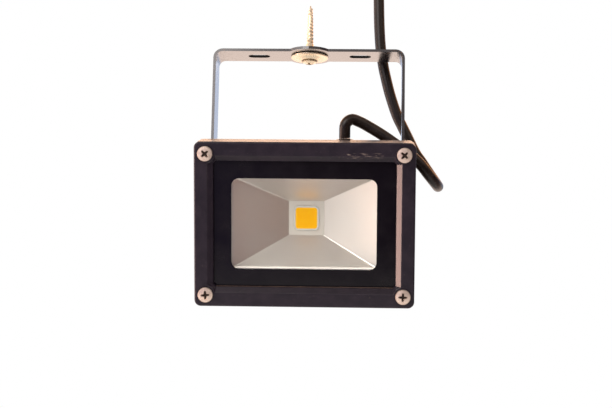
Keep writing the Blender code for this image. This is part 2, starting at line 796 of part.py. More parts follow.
def make_source(lamp):
    plate_back = SOURCE_DEPTH + PLATE_THICK
    plate = loft(
        "led_base",
        [
            rounded_rectangle(PLATE_HALF_X, PLATE_HALF_Z, 1.0 * MM, SOURCE_DEPTH, 2),
            rounded_rectangle(PLATE_HALF_X, PLATE_HALF_Z, 1.0 * MM, plate_back, 2),
        ],
        WHITE_PLATE,
        lamp,
    )
    pad_front = plate_back + GAP
    pad = loft(
        "thermal_pad",
        [
            rounded_rectangle(PLATE_HALF_X, PLATE_HALF_Z, 1.0 * MM, pad_front, 2),
            rounded_rectangle(PLATE_HALF_X, PLATE_HALF_Z, 1.0 * MM, pad_front + PAD_THICK, 2),
        ],
        PAD,
        lamp,
    )
    for side, name in ((-1, "led_screw_left"), (1, "led_screw_right")):
        place = facing_front(side * PLATE_SCREW_X, 0, SOURCE_DEPTH - GAP)
        turned(name, screw_profile(M3, 6.2 * MM), 12, STEEL, lamp, place)
    bm = bmesh.new()
    for side in (-1, 1):
        place = facing_front(side * PLATE_SCREW_X, 0, SOURCE_DEPTH)
        add_turned(bm, rod_profile(M3[0] + GAP, -4.0 * MM, 2.0 * MM), 10, place)
    holes = from_bmesh("led_base_holes", bm, parent=lamp)
    combine(plate, "DIFFERENCE", holes)
    combine(pad, "DIFFERENCE", holes)

    seat = SOURCE_DEPTH - GAP
    loft(
        "led_emitter",
        [
            rounded_rectangle(EMITTER_HALF_X, EMITTER_HALF_Z, EMITTER_CORNER, depth)
            for depth in (seat - EMITTER_THICK, seat)
        ],
        PHOSPHOR,
        lamp,
    )
    inner_x = EMITTER_HALF_X + GAP
    inner_z = EMITTER_HALF_Z + GAP
    corner = EMITTER_CORNER + GAP
    front = seat - DAM_THICK
    loft(
        "led_dam",
        [
            rounded_rectangle(inner_x, inner_z, corner, seat),
            rounded_rectangle(inner_x, inner_z, corner, front),
            rounded_rectangle(inner_x + DAM_WIDTH, inner_z + DAM_WIDTH, corner + DAM_WIDTH, front),
            rounded_rectangle(inner_x + DAM_WIDTH, inner_z + DAM_WIDTH, corner + DAM_WIDTH, seat),
        ],
        WHITE_PLATE,
        lamp,
        ring_shaped=True,
    )


def block(half_x, half_z, x, near, far, corner=0.6 * MM):
    """Two rings of a block about an X, between two depths."""
    shift = Vector((x, 0, 0))
    return [
        [point + shift for point in rounded_rectangle(half_x, half_z, corner, depth, 1)]
        for depth in (near, far)
    ]


def make_driver(lamp):
    floor = FLOOR_DEPTH - GAP
    case = loft(
        "driver_case",
        block(DRIVER_HALF_X, DRIVER_HALF_Z, DRIVER_X, DRIVER_TOP_DEPTH, floor),
        DRIVER_PLASTIC,
        lamp,
    )
    ears = loft(
        "driver_ears",
        block(
            DRIVER_HALF_X - 2.0 * MM,
            DRIVER_HALF_Z + DRIVER_EAR,
            DRIVER_X,
            floor - DRIVER_EAR_THICK,
            floor,
        ),
        parent=lamp,
    )
    combine(case, "UNION", ears)
    tray = loft(
        "driver_tray",
        block(
            DRIVER_HALF_X - DRIVER_WALL,
            DRIVER_HALF_Z - DRIVER_WALL,
            DRIVER_X,
            DRIVER_TOP_DEPTH - 1.0 * MM,
            floor - DRIVER_WALL,
        ),
        parent=lamp,
    )
    combine(case, "DIFFERENCE", tray)
    play = DRIVER_WALL + GAP
    loft(
        "driver_potting",
        block(
            DRIVER_HALF_X - play,
            DRIVER_HALF_Z - play,
            DRIVER_X,
            DRIVER_TOP_DEPTH + 1.0 * MM,
            floor - play,
        ),
        RESIN,
        lamp,
    )
    bm = bmesh.new()
    for side, name in ((1, "driver_screw_top"), (-1, "driver_screw_bottom")):
        z = side * (DRIVER_HALF_Z + DRIVER_EAR / 2)
        turned(
            name,
            screw_profile((M3[0], 2.2 * MM, 1.6 * MM), DRIVER_EAR_THICK + 2.0 * MM),
            12,
            STEEL,
            lamp,
            facing_front(DRIVER_X, z, floor - DRIVER_EAR_THICK - GAP),
        )
        add_turned(
            bm, rod_profile(M3[0] + GAP, -6.0 * MM, 2.0 * MM), 10, facing_front(DRIVER_X, z, floor)
        )
    combine(case, "DIFFERENCE", from_bmesh("driver_holes", bm, parent=lamp))


def make_earth_point(lamp):
    top = FLOOR_DEPTH - EARTH_POST - GAP
    outline = []
    ring_radius = 3.0 * MM
    for k in range(13):
        angle = math.radians(120 + 300 * k / 12)
        outline.append((ring_radius * math.cos(angle), ring_radius * math.sin(angle)))
    tongue = 1.3 * MM
    outline += [(tongue, 8.0 * MM), (-tongue, 8.0 * MM)]
    rings = [
        [Vector((EARTH_X + x, back(depth), EARTH_Z + z)) for x, z in outline]
        for depth in (top - TERMINAL_THICK, top)
    ]
    terminal = loft("earth_terminal", rings, TINNED, lamp)
    place = facing_front(EARTH_X, EARTH_Z, top)
    hole = turned(
        "earth_terminal_hole", rod_profile(M3[0] + GAP, -2 * MM, 2 * MM), 10, parent=lamp, place=place
    )
    combine(terminal, "DIFFERENCE", hole)
    turned(
        "earth_screw",
        screw_profile(M3, 4.6 * MM),
        12,
        BRASS,
        lamp,
        facing_front(EARTH_X, EARTH_Z, top - TERMINAL_THICK - GAP),
    )


def hexagon_rings(radius, heights, place):
    """Rings of a hexagon, each a share of the full radius, at heights."""
    return [
        [
            place
            @ Vector(
                (
                    share * radius * math.cos(math.radians(60 * k)),
                    share * radius * math.sin(math.radians(60 * k)),
                    height,
                )
            )
            for k in range(6)
        ]
        for share, height in heights
    ]


def ribbed_rings(ribs, profile, place):
    """Rings of a round body with upright grip ribs, from a list of (radius, height, rise of the ribs)."""
    rings = []
    for radius, height, rise in profile:
        ring = []
        for k in range(4 * ribs):
            angle = 2 * math.pi * k / (4 * ribs)
            reach = radius + (rise if k % 4 < 2 else 0)
            ring.append(
                place @ Vector((reach * math.cos(angle), reach * math.sin(angle), height))
            )
        rings.append(ring)
    return rings


def make_gland(lamp):
    """From the seat upwards: sealing ring, collar, then the clamp nut with the rubber sleeve in it."""
    place = upward(GLAND_X, GLAND_DEPTH, 0)
    ring_low = GLAND_SEAT + GAP
    ring_high = ring_low + GLAND_RING_THICK
    turned_ring(
        "gland_washer",
        [
            (GLAND_THREAD + GAP, ring_low),
            (GLAND_HEX, ring_low),
            (GLAND_HEX, ring_high),
            (GLAND_THREAD + GAP, ring_high),
        ],
        20,
        SILICONE,
        lamp,
        place,
    )
    collar_low = ring_high + GAP
    collar_high = collar_low + GLAND_COLLAR
    neck_high = collar_high + GLAND_NECK
    inner_end = BODY_HALF_Z - WALL - 4.2 * MM
    body = loft(
        "gland_body",
        hexagon_rings(
            GLAND_HEX / math.cos(math.radians(30)),
            [(0.94, collar_low), (1, collar_low + 0.5 * MM), (1, collar_high)],
            place,
        ),
        GLAND_PLASTIC,
        lamp,
    )
    stem = turned(
        "gland_stem", rod_profile(GLAND_THREAD, inner_end, neck_high), 20, parent=lamp, place=place
    )
    combine(body, "UNION", stem)
    bore = turned(
        "gland_bore",
        rod_profile(CABLE_RADIUS + GAP, inner_end - 1 * MM, neck_high + 1 * MM),
        16,
        parent=lamp,
        place=place,
    )
    combine(body, "DIFFERENCE", bore)
    cup = turned(
        "gland_cup",
        rod_profile(GLAND_BORE + 0.8 * MM, collar_low, neck_high + 1 * MM),
        16,
        parent=lamp,
        place=place,
    )
    combine(body, "DIFFERENCE", cup)
    turned_ring(
        "gland_seal",
        [
            (CABLE_RADIUS + GAP, collar_low + GAP),
            (GLAND_BORE + 0.8 * MM - GAP, collar_low + GAP),
            (GLAND_BORE + 0.8 * MM - GAP, neck_high - 0.4 * MM),
            (CABLE_RADIUS + GAP, neck_high - 0.1 * MM),
        ],
        16,
        SILICONE,
        lamp,
        place,
    )
    nut_low = collar_high + GAP
    nut_high = nut_low + GLAND_NUT_HEIGHT
    nut_round = GLAND_THREAD + GAP + GLAND_NUT_WALL
    ribs_high = nut_low + 2.6 * MM
    nut = loft(
        "gland_nut",
        ribbed_rings(
            GLAND_NUT_RIBS,
            [
                (nut_round - 0.3 * MM, nut_low, 0),
                (nut_round, nut_low + 0.3 * MM, GLAND_NUT_RIB_RISE),
                (nut_round, ribs_high, GLAND_NUT_RIB_RISE),
                (nut_round - 0.2 * MM, ribs_high + 0.6 * MM, 0),
                (nut_round - 0.7 * MM, nut_low + 3.9 * MM, 0),
                (nut_round - 2.2 * MM, nut_high - 0.4 * MM, 0),
                (nut_round - 3.2 * MM, nut_high, 0),
            ],
            place,
        ),
        GLAND_PLASTIC,
        lamp,
    )
    hollow = turned(
        "gland_nut_hollow",
        [
            (0, nut_low - 1 * MM),
            (GLAND_THREAD + GAP, nut_low - 1 * MM),
            (GLAND_THREAD + GAP, neck_high + GAP),
            (0, neck_high + GAP),
        ],
        20,
        parent=lamp,
        place=place,
    )
    combine(nut, "DIFFERENCE", hollow)
    mouth = turned(
        "gland_nut_mouth",
        rod_profile(CABLE_RADIUS + GAP, nut_low, nut_high + 1 * MM),
        16,
        parent=lamp,
        place=place,
    )
    combine(nut, "DIFFERENCE", mouth)
    return nut_high, inner_end


def make_cable(tilt_axis, nut_high, inner_end):
    """The free cable outside, its clamped end in the gland, and the three stripped cores at its far end."""
    to_world = Matrix.Translation((0, 0, -AXIS_DROP)) @ Matrix.Rotation(TILT, 4, "X")
    rise = 0.9 * MM
    leave = to_world @ Vector((GLAND_X, back(GLAND_DEPTH), nut_high + rise))
    straight = to_world @ Vector((GLAND_X, back(GLAND_DEPTH), nut_high + rise + 2.2 * MM))
    route = [leave, straight] + [Vector(point) * MM for point in CABLE_ROUTE]
    points, length = smooth_points(route, 3.1 * MM)
    tube("cable", points, CABLE_RADIUS, RUBBER, 3)
    print(f"cable: {length * 1000:.0f} mm of sheath in {len(points)} points")

    inner_low = inner_end - 2.0 * MM
    turned(
        "cable_entry",
        rod_profile(CABLE_RADIUS, inner_low, nut_high + rise - GAP),
        16,
        RUBBER,
        tilt_axis,
        upward(GLAND_X, GLAND_DEPTH, 0),
    )
    end = points[-1] + Vector((0, 0, GAP))
    spread = (("brown", 90, CORE_BROWN), ("blue", 210, CORE_BLUE), ("earth", 330, CORE_EARTH))
    for name, angle, looks in spread:
        out = Vector((math.cos(math.radians(angle)), math.sin(math.radians(angle)), 0))
        start = end + out * 1.55 * MM
        core_route = [
            start,
            start + Vector((0, 0, 5 * MM)) + out * 0.3 * MM,
            start + Vector((0, 0, 13 * MM)) + out * 2.6 * MM,
            start + Vector((0, 0, CORE_LENGTH)) + out * 4.4 * MM,
        ]
        core, _ = smooth_points(core_route, 2.8 * MM)
        tube(f"core_{name}", core, CORE_RADIUS, looks, 2)
        way = (core[-1] - core[-2]).normalized()
        turn = Vector((0, 0, 1)).rotation_difference(way).to_matrix().to_4x4()
        place = Matrix.Translation(core[-1] + way * GAP) @ turn
        profile = [
            (0, 0),
            (1.35 * MM, 0),
            (1.2 * MM, 2.0 * MM),
            (0.8 * MM, 2.4 * MM),
            (0.8 * MM, FERRULE_LENGTH),
            (0, FERRULE_LENGTH),
        ]
        turned(f"ferrule_{name}", profile, 12, TINNED, None, place)
    return inner_low


def make_leads(lamp, inner_low):
    """Single wires from the cable's inner end to the driver and the earth point, and on to the light source."""
    top = inner_low - GAP
    driver_top = DRIVER_HALF_Z + GAP + 0.15 * MM
    start_depth = GLAND_DEPTH
    terminal_z = EARTH_Z + 8.0 * MM
    terminal_depth = FLOOR_DEPTH - EARTH_POST - GAP - TERMINAL_THICK / 2
    wires = {
        "lead_live": (
            CORE_BROWN,
            [
                (GLAND_X - 1.4 * MM, start_depth, top),
                (GLAND_X - 1.4 * MM, start_depth, top - 1.2 * MM),
                (GLAND_X - 4.0 * MM, start_depth + 2 * MM, top - 3.0 * MM),
                (GLAND_X - 14 * MM, FLOOR_DEPTH - 6.9 * MM, top - 3.4 * MM),
                (DRIVER_X + 23.8 * MM, FLOOR_DEPTH - 6.9 * MM, top - 3.2 * MM),
                (DRIVER_X + 10 * MM, DRIVER_TOP_DEPTH + 5.1 * MM, driver_top + 0.6 * MM),
                (DRIVER_X + 5 * MM, DRIVER_TOP_DEPTH + 4.6 * MM, driver_top + 1.8 * MM),
                (DRIVER_X + 3.6 * MM, DRIVER_TOP_DEPTH + 4.6 * MM, driver_top),
            ],
        ),
        "lead_neutral": (
            CORE_BLUE,
            [
                (GLAND_X, start_depth + 1.5 * MM, top),
                (GLAND_X, start_depth + 1.5 * MM, top - 1.0 * MM),
                (GLAND_X - 2.2 * MM, start_depth + 4.4 * MM, top - 2.4 * MM),
                (GLAND_X - 12 * MM, FLOOR_DEPTH - 4.0 * MM, top - 2.6 * MM),
                (DRIVER_X + 23.8 * MM, FLOOR_DEPTH - 4.4 * MM, top - 2.0 * MM),
                (DRIVER_X + 9 * MM, DRIVER_TOP_DEPTH + 7.0 * MM, driver_top + 3.6 * MM),
                (DRIVER_X + 3 * MM, DRIVER_TOP_DEPTH + 1.8 * MM, driver_top + 3.8 * MM),
                (DRIVER_X - 2.2 * MM, DRIVER_TOP_DEPTH + 1.2 * MM, driver_top + 2.2 * MM),
                (DRIVER_X - 2.6 * MM, DRIVER_TOP_DEPTH + 1.2 * MM, driver_top),
            ],
        ),
        "lead_earth": (
            CORE_EARTH,
            [
                (GLAND_X + 1.4 * MM, start_depth, top),
                (GLAND_X + 1.4 * MM, start_depth, top - 1.2 * MM),
                (GLAND_X + 4.0 * MM, start_depth + 1.6 * MM, top - 3.0 * MM),
                (GLAND_X + 11 * MM, FLOOR_DEPTH - 7.9 * MM, top - 8.0 * MM),
                (EARTH_X + 3 * MM, FLOOR_DEPTH - 6.6 * MM, 4 * MM),
                (EARTH_X + 0.6 * MM, terminal_depth, terminal_z + 5 * MM),
                (EARTH_X, terminal_depth, terminal_z + GAP),
            ],
        ),
    }
    # the two to the light source cross under the reflector, which sets how far forward they may arch
    leave_x = DRIVER_X + DRIVER_HALF_X
    land_x = -PLATE_SCREW_X
    crown_x = land_x - 1.4 * MM
    reflector_back = SOURCE_DEPTH + (crown_x + APERTURE_HALF_X) / SLOPE_X + SHEET_IN_DEPTH
    crown = reflector_back + LEAD_PLAY + LEAD_RADIUS
    fall = SOURCE_DEPTH - GAP - crown
    spread = 6.4 * MM
    for name, looks, z in (
        ("led_lead_plus", CORE_RED, spread),
        ("led_lead_minus", CORE_BLACK, -spread),
    ):
        route = [
            (leave_x + GAP, crown + 0.6 * fall, z),
            (leave_x + 1.4 * MM, crown + 0.6 * fall, z),
            (leave_x + 3.2 * MM, crown + 0.28 * fall, z),
            (crown_x, crown, z),
            (land_x, crown + 0.44 * fall, z),
            (land_x + 0.1 * MM, crown + fall, z),
        ]
        wires[name] = (looks, route)
    for name, (looks, route) in wires.items():
        knots = [Vector((x, back(depth), z)) for x, depth, z in route]
        points, _ = smooth_points(knots, 2.2 * MM)
        tube(name, points, LEAD_RADIUS, looks, 1, lamp)


def make_side_bolts(lamp):
    """Outwards from the bracket's leg on each side: flat washer, spring washer, hexagon bolt."""
    outside = BRACKET_WIDTH / 2 + GAP
    hole = M5[0] + GAP
    for flip, side in ((-1, "left"), (1, "right")):
        place = along_x(flip * outside, flip=flip)
        radius, thick = FLAT_WASHER
        turned_ring(
            f"pivot_washer_{side}",
            [(hole, 0), (radius, 0), (radius, thick), (hole, thick)],
            24,
            STEEL,
            lamp,
            place,
        )
        low = thick + GAP
        radius, thick = SPRING_WASHER
        rings = []
        steps = 22
        for k in range(steps + 1):
            angle = math.radians(8 + 344 * k / steps)
            rings.append(
                [
                    place @ Vector((r * math.cos(angle), r * math.sin(angle), low + h))
                    for r, h in ((hole, 0), (radius, 0), (radius, thick), (hole, thick))
                ]
            )
        loft(f"pivot_spring_washer_{side}", rings, STEEL, lamp)
        head_low = low + thick + GAP
        shank, head, height = M5
        bolt = loft(
            f"pivot_bolt_{side}",
            hexagon_rings(
                head,
                [
                    (0.95, head_low),
                    (1, head_low + 0.3 * MM),
                    (1, head_low + height - 0.5 * MM),
                    (0.9, head_low + height),
                ],
                place,
            ),
            STEEL,
            lamp,
        )
        reach = BRACKET_WIDTH / 2 + GAP - BOSS_FACE + BOLT_REACH
        shaft = turned(
            f"pivot_shank_{side}",
            [
                (0, -reach),
                (shank * 0.7, -reach),
                (shank, -reach + 0.8 * MM),
                (shank, head_low + 1.0 * MM),
                (0, head_low + 1.0 * MM),
            ],
            16,
            parent=lamp,
            place=place,
        )
        combine(bolt, "UNION", shaft)


def make_bracket(pan_axis, looks):
    """A strap bent to a U, with an ear round the fixing screw, two slots, and a hole at each rounded end."""
    half = BRACKET_WIDTH / 2
    outer = BEND + SHEET
    leg_end = -AXIS_DROP - STRAP
    steps = 6
    outline = [(-half, leg_end)]
    for centre_x, first in ((-half + outer, 180), (half - outer, 90)):
        for k in range(steps + 1):
            angle = math.radians(first - 90 * k / steps)
            outline.append((centre_x + outer * math.cos(angle), -outer + outer * math.sin(angle)))
    outline += [(half, leg_end), (half - SHEET, leg_end)]
    for centre_x, first in ((half - outer, 0), (-half + outer, 90)):
        for k in range(steps + 1):
            angle = math.radians(first + 90 * k / steps)
            outline.append((centre_x + BEND * math.cos(angle), -outer + BEND * math.sin(angle)))
    outline.append((-half + SHEET, leg_end))
    strap = loft(
        "bracket",
        [[Vector((x, y, z)) for x, z in outline] for y in (-STRAP / 2, STRAP / 2)],
        looks,
        pan_axis,
    )
    side = [(-STRAP / 2 - 1 * MM, 5 * MM), (STRAP / 2 + 1 * MM, 5 * MM)]
    end = []
    for k in range(17):
        angle = math.radians(-180 * k / 16)
        end.append((STRAP / 2 * math.cos(angle), -AXIS_DROP + STRAP / 2 * math.sin(angle)))
    side += [(STRAP / 2 + 1 * MM, -AXIS_DROP)] + end + [(-STRAP / 2 - 1 * MM, -AXIS_DROP)]
    ends = loft(
        "bracket_side_view",
        [[Vector((x, y, z)) for y, z in side] for x in (-half - 5 * MM, half + 5 * MM)],
        parent=pan_axis,
    )
    combine(strap, "INTERSECT", ends)

    ear = loft(
        "bracket_ear", stadium(EAR_WIDTH, EAR_DEPTH, 0, (-SHEET, 0), 12, True), parent=pan_axis
    )
    combine(strap, "UNION", ear)

    bm = bmesh.new()
    add_turned(bm, rod_profile(CENTRE_HOLE, -SHEET - 1 * MM, 1 * MM), 20)
    for flip in (-1, 1):
        span = (-SHEET - 1 * MM, 1 * MM)
        add_loft(bm, stadium(SLOT_WIDTH, SLOT_LENGTH, flip * SLOT_SPACING / 2, span, 6, False))
        place = Matrix.Translation((flip * half, 0, -AXIS_DROP))
        place = place @ Matrix.Rotation(math.radians(90) * flip, 4, "Y")
        add_turned(bm, rod_profile(M5[0] + 0.5 * MM, -SHEET - 1 * MM, 1 * MM), 20, place)
    combine(strap, "DIFFERENCE", from_bmesh("bracket_holes", bm, parent=pan_axis))


def stadium(width, length, x, heights, steps, across):
    """Flat rings with two half-round ends, long along Y when across is set, and along X otherwise."""
    radius = width / 2
    straight = length / 2 - radius
    rings = []
    for height in heights:
        ring = []
        for end in (1, -1):
            for k in range(steps + 1):
                angle = math.radians(90 - 90 * end + 180 * k / steps) - math.radians(90)
                u = end * straight + radius * math.cos(angle)
                v = radius * math.sin(angle)
                ring.append(Vector((x - v, u, height)) if across else Vector((x + u, v, height)))
        rings.append(ring)
    return rings


def make_fixing(beam_fixing):
    """The wood screw through the middle of the bracket, and the dished washer under its head."""
    under = -SHEET - GAP
    hole = WOOD_SHANK + GAP
    rim = 2.6 * MM
    cone_foot = WASHER_RADIUS - rim
    turned_ring(
        "fixing_washer",
        [
            (WASHER_RADIUS, under),
            (WASHER_RADIUS, under - WASHER_THICK * 0.7),
            (WASHER_RADIUS - 0.3 * MM, under - WASHER_THICK),
            (cone_foot, under - WASHER_THICK),
            (WOOD_HEAD + 0.9 * MM, under - WASHER_THICK - WASHER_RISE),
            (hole, under - WASHER_THICK - WASHER_RISE),
            (hole, under - WASHER_RISE),
            (WOOD_HEAD + 0.9 * MM, under - WASHER_RISE),
            (cone_foot, under),
        ],
        32,
        BRASS,
        beam_fixing,
    )
    seat = under - WASHER_THICK - WASHER_RISE - GAP
    tip = seat + WOOD_LENGTH
    turned(
        "fixing_screw",
        [
            (0, tip),
            (0.3 * MM, tip - 0.4 * MM),
            (WOOD_SHANK * 0.8, tip - 5.0 * MM),
            (WOOD_SHANK, tip - 9.0 * MM),
            (WOOD_SHANK, seat + 0.2 * MM),
            (WOOD_HEAD, seat),
            (WOOD_HEAD, seat - 0.6 * MM),
            (WOOD_HEAD * 0.8, seat - 1.3 * MM),
            (WOOD_HEAD * 0.45, seat - 1.75 * MM),
            (0, seat - 1.8 * MM),
        ][::-1],
        20,
        BRASS,
        beam_fixing,
    )


BLACK_CASTING = material("black_casting", (0.022, 0.02, 0.028), 0.42)
BLACK_STEEL = material("black_steel", (0.015, 0.014, 0.016), 0.3)
STEEL = material("plated_steel", (0.72, 0.66, 0.6), 0.32, 1.0)
BRASS = material("brass", (0.8, 0.6, 0.3), 0.3, 1.0)
TINNED = material("tinned_copper", (0.75, 0.74, 0.72), 0.35, 1.0)
ALUMINIUM = material("reflector_aluminium", (0.82, 0.8, 0.78), 0.3, 1.0)
GLASS = material("glass", (1.0, 1.0, 1.0), 0.02, **{"Transmission Weight": 1.0, "IOR": 1.5})
SILICONE = material("silicone", (0.55, 0.55, 0.54), 0.6)
WHITE_PLATE = material("white_plate", (0.68, 0.63, 0.62), 0.45)
PHOSPHOR = material("phosphor", (1.0, 0.46, 0.01), 0.5)
PAD = material("thermal_pad", (0.35, 0.4, 0.5), 0.8)
DRIVER_PLASTIC = material("driver_plastic", (0.75, 0.75, 0.73), 0.5)
RESIN = material("resin", (0.03, 0.03, 0.03), 0.5)
GLAND_PLASTIC = material("gland_plastic", (0.02, 0.02, 0.02), 0.45)
RUBBER = material("cable_rubber", (0.02, 0.018, 0.017), 0.55)
CORE_BROWN = material("core_brown", (0.2, 0.07, 0.03), 0.45)
CORE_BLUE = material("core_blue", (0.03, 0.14, 0.5), 0.45)
CORE_EARTH = material("core_earth", (0.35, 0.55, 0.05), 0.45)
CORE_RED = material("core_red", (0.5, 0.03, 0.02), 0.45)
CORE_BLACK = material("core_black", (0.02, 0.02, 0.02), 0.45)

beam_fixing = empty("beam_fixing")
pan_axis = empty("pan_axis", parent=beam_fixing)
tilt_axis = empty("tilt_axis", (0, 0, -AXIS_DROP), (TILT, 0, 0), pan_axis)

make_fixing(beam_fixing)
make_bracket(pan_axis, BLACK_STEEL)
lip = make_front_frame(BLACK_CASTING, tilt_axis)
seal = make_glass(tilt_axis, *lip)
make_housing(BLACK_CASTING, tilt_axis, seal)
make_reflector(tilt_axis)
make_source(tilt_axis)
make_driver(tilt_axis)
make_earth_point(tilt_axis)
nut_top, gland_end = make_gland(tilt_axis)
cable_end = make_cable(tilt_axis, nut_top, gland_end)
make_leads(tilt_axis, cable_end)
make_side_bolts(tilt_axis)
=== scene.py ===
import math

import bmesh
import bpy
from mathutils import Matrix, Vector


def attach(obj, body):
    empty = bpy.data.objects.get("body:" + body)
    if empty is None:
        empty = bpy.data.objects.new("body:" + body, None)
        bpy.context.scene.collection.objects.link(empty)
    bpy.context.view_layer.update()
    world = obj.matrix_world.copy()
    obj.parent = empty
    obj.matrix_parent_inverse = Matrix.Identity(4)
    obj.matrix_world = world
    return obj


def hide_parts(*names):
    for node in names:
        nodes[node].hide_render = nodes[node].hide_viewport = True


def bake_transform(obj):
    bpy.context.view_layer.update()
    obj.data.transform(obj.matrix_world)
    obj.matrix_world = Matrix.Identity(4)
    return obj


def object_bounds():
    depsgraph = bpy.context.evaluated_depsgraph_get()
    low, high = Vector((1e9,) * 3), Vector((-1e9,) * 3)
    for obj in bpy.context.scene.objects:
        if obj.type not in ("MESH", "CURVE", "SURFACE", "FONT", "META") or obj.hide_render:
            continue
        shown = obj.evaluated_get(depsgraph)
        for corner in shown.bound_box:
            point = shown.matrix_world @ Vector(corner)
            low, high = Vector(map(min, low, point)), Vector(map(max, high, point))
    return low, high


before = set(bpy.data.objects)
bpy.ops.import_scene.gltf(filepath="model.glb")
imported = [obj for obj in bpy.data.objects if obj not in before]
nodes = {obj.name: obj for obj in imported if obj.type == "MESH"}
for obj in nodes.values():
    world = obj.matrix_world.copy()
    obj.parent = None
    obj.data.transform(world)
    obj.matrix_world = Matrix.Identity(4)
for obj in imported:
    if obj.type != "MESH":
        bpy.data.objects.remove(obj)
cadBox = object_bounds()
scene = bpy.context.scene
print("frame loaded:", len(nodes), "nodes")

mm = 0.001

# the lamp's own frame: X right, Y back from the side bolts, Z up
lamp = {
    "axisDrop": 90.8 * mm,    # side bolts below the bracket's top face
    "tilt": math.radians(18.5),
    "axisDepth": 32.0 * mm,    # side bolts behind the front face
    "screwX": 51.55 * mm,
    "screwZ": 37.05 * mm,
    "gap": 0.3 * mm,    # between pieces that touch
}
lampToWorld = Matrix.Translation((0, 0, -lamp["axisDrop"])) @ Matrix.Rotation(lamp["tilt"], 4, "X")


def inLamp(x, depth, z):
    return lampToWorld @ Matrix.Translation((x, depth - lamp["axisDepth"], z))


def facingFront(x, depth, z):
    return inLamp(x, depth, z) @ Matrix.Rotation(math.radians(90), 4, "X")


# camera, where the photograph was taken from
camera = {
    "place": (35.85 * mm, -850.0 * mm, -244.52 * mm),
    "yaw": math.radians(2.455),
    "pitch": math.radians(10.695),
    "roll": math.radians(1.032),
    "lens": 94.46,
    "sensor": 36.0,
}


def makeCamera():
    yaw, pitch, roll = camera["yaw"], camera["pitch"], camera["roll"]
    level = Vector((math.cos(yaw), math.sin(yaw), 0))
    ahead = Vector((-math.sin(yaw) * math.cos(pitch), math.cos(yaw) * math.cos(pitch), math.sin(pitch)))
    upright = level.cross(ahead)
    across = math.cos(roll) * level + math.sin(roll) * upright
    upward = math.cos(roll) * upright - math.sin(roll) * level
    data = bpy.data.cameras.new("photoCamera")
    data.lens = camera["lens"]
    data.sensor_width = camera["sensor"]
    data.sensor_fit = "HORIZONTAL"
    data.clip_start = 0.01
    data.clip_end = 50.0
    made = bpy.data.objects.new("photoCamera", data)
    turn = Matrix((across, upward, -ahead)).transposed().to_4x4()
    made.matrix_world = Matrix.Translation(camera["place"]) @ turn
    scene.collection.objects.link(made)
    scene.camera = made


makeCamera()
scene.view_settings.view_transform = "Standard"
print("camera set")


# helpers for finishes, whose patterns follow Object coordinates in metres
def newFinish(name, colour, roughness, metallic=0.0, extra=()):
    made = bpy.data.materials.new(name)
    made.use_nodes = True
    tree = made.node_tree
    shader = tree.nodes["Principled BSDF"]
    shader.inputs["Base Color"].default_value = (*colour, 1.0)
    shader.inputs["Roughness"].default_value = roughness
    shader.inputs["Metallic"].default_value = metallic
    for label, value in dict(extra).items():
        shader.inputs[label].default_value = value
    return made, tree, shader


def addNode(tree, kind, sockets=(), **settings):
    made = tree.nodes.new(kind)
    for key, value in settings.items():
        setattr(made, key, value)
    for key, value in dict(sockets).items():
        if isinstance(value, bpy.types.NodeSocket):
            tree.links.new(value, made.inputs[key])
        else:
            made.inputs[key].default_value = value
    return made


def objectPlace(tree, stretch=(1, 1, 1), turn=(0, 0, 0), shift=(0, 0, 0)):
    given = tree.nodes.get("objectPlace") or addNode(tree, "ShaderNodeTexCoord", name="objectPlace")
    sockets = {"Vector": given.outputs["Object"], "Scale": stretch, "Rotation": turn, "Location": shift}
    return addNode(tree, "ShaderNodeMapping", sockets).outputs["Vector"]


def split(tree, vector):
    # the X, Y and Z of a vector
    return addNode(tree, "ShaderNodeSeparateXYZ", {"Vector": vector}).outputs


def lampPlace(tree):
    # X, Y and Z in the lamp's own frame
    shift = tuple(lampToWorld.inverted().translation)
    return split(tree, objectPlace(tree, turn=(-lamp["tilt"], 0, 0), shift=shift))


def upward(tree):
    # how far a surface faces up as the piece hangs at rest, from -1 to 1
    return split(tree, addNode(tree, "ShaderNodeTexCoord").outputs["Normal"])["Z"]


def maths(tree, operation, first, second=0.0):
    return addNode(tree, "ShaderNodeMath", {0: first, 1: second}, operation=operation).outputs[0]


def product(tree, *values):
    result = values[0]
    for value in values[1:]:
        result = maths(tree, "MULTIPLY", result, value)
    return result


def spread(tree, value, low, high, toLow=0.0, toHigh=1.0):
    # carries low to high over to toLow to toHigh, and stays level past them
    sockets = {0: value, 1: low, 2: high, 3: toLow, 4: toHigh}
    return addNode(tree, "ShaderNodeMapRange", sockets).outputs["Result"]


def between(tree, value, low, high, soft):
    # 1 from low to high, fading out over soft on either side
    rise = spread(tree, value, low - soft, low)
    return product(tree, rise, spread(tree, value, high, high + soft, 1.0, 0.0))


def grain(tree, size, detail=3.0, rough=0.55, stretch=(1, 1, 1)):
    # noise whose spots are about size metres
    place = objectPlace(tree, stretch)
    sockets = {"Vector": place, "Scale": 1.0 / size, "Detail": detail, "Roughness": rough}
    return addNode(tree, "ShaderNodeTexNoise", sockets).outputs["Fac"]


def spots(tree, size, detail, low, high, strength, rough=0.55, stretch=(1, 1, 1)):
    # patches where the noise rises from low to high, up to strength
    return spread(tree, grain(tree, size, detail, rough, stretch), low, high, 0.0, strength)


def colours(tree, value, *stops):
    made = addNode(tree, "ShaderNodeValToRGB", {"Fac": value})
    points = made.color_ramp.elements
    while len(points) < len(stops):
        points.new(0.5)
    for point, (position, colour) in zip(points, stops):
        point.position = position
        point.color = (*colour, 1.0)
    return made.outputs["Color"]


def mixed(tree, share, first, second):
    made = addNode(tree, "ShaderNodeMix", data_type="RGBA")
    for key, value in (("Factor", share), ("A", first), ("B", second)):
        socket = next(s for s in made.inputs if s.name == key and (key == "Factor" or s.type == "RGBA"))
        if isinstance(value, bpy.types.NodeSocket):
            tree.links.new(value, socket)
        else:
            socket.default_value = (*value, 1.0)
    return next(s for s in made.outputs if s.type == "RGBA")


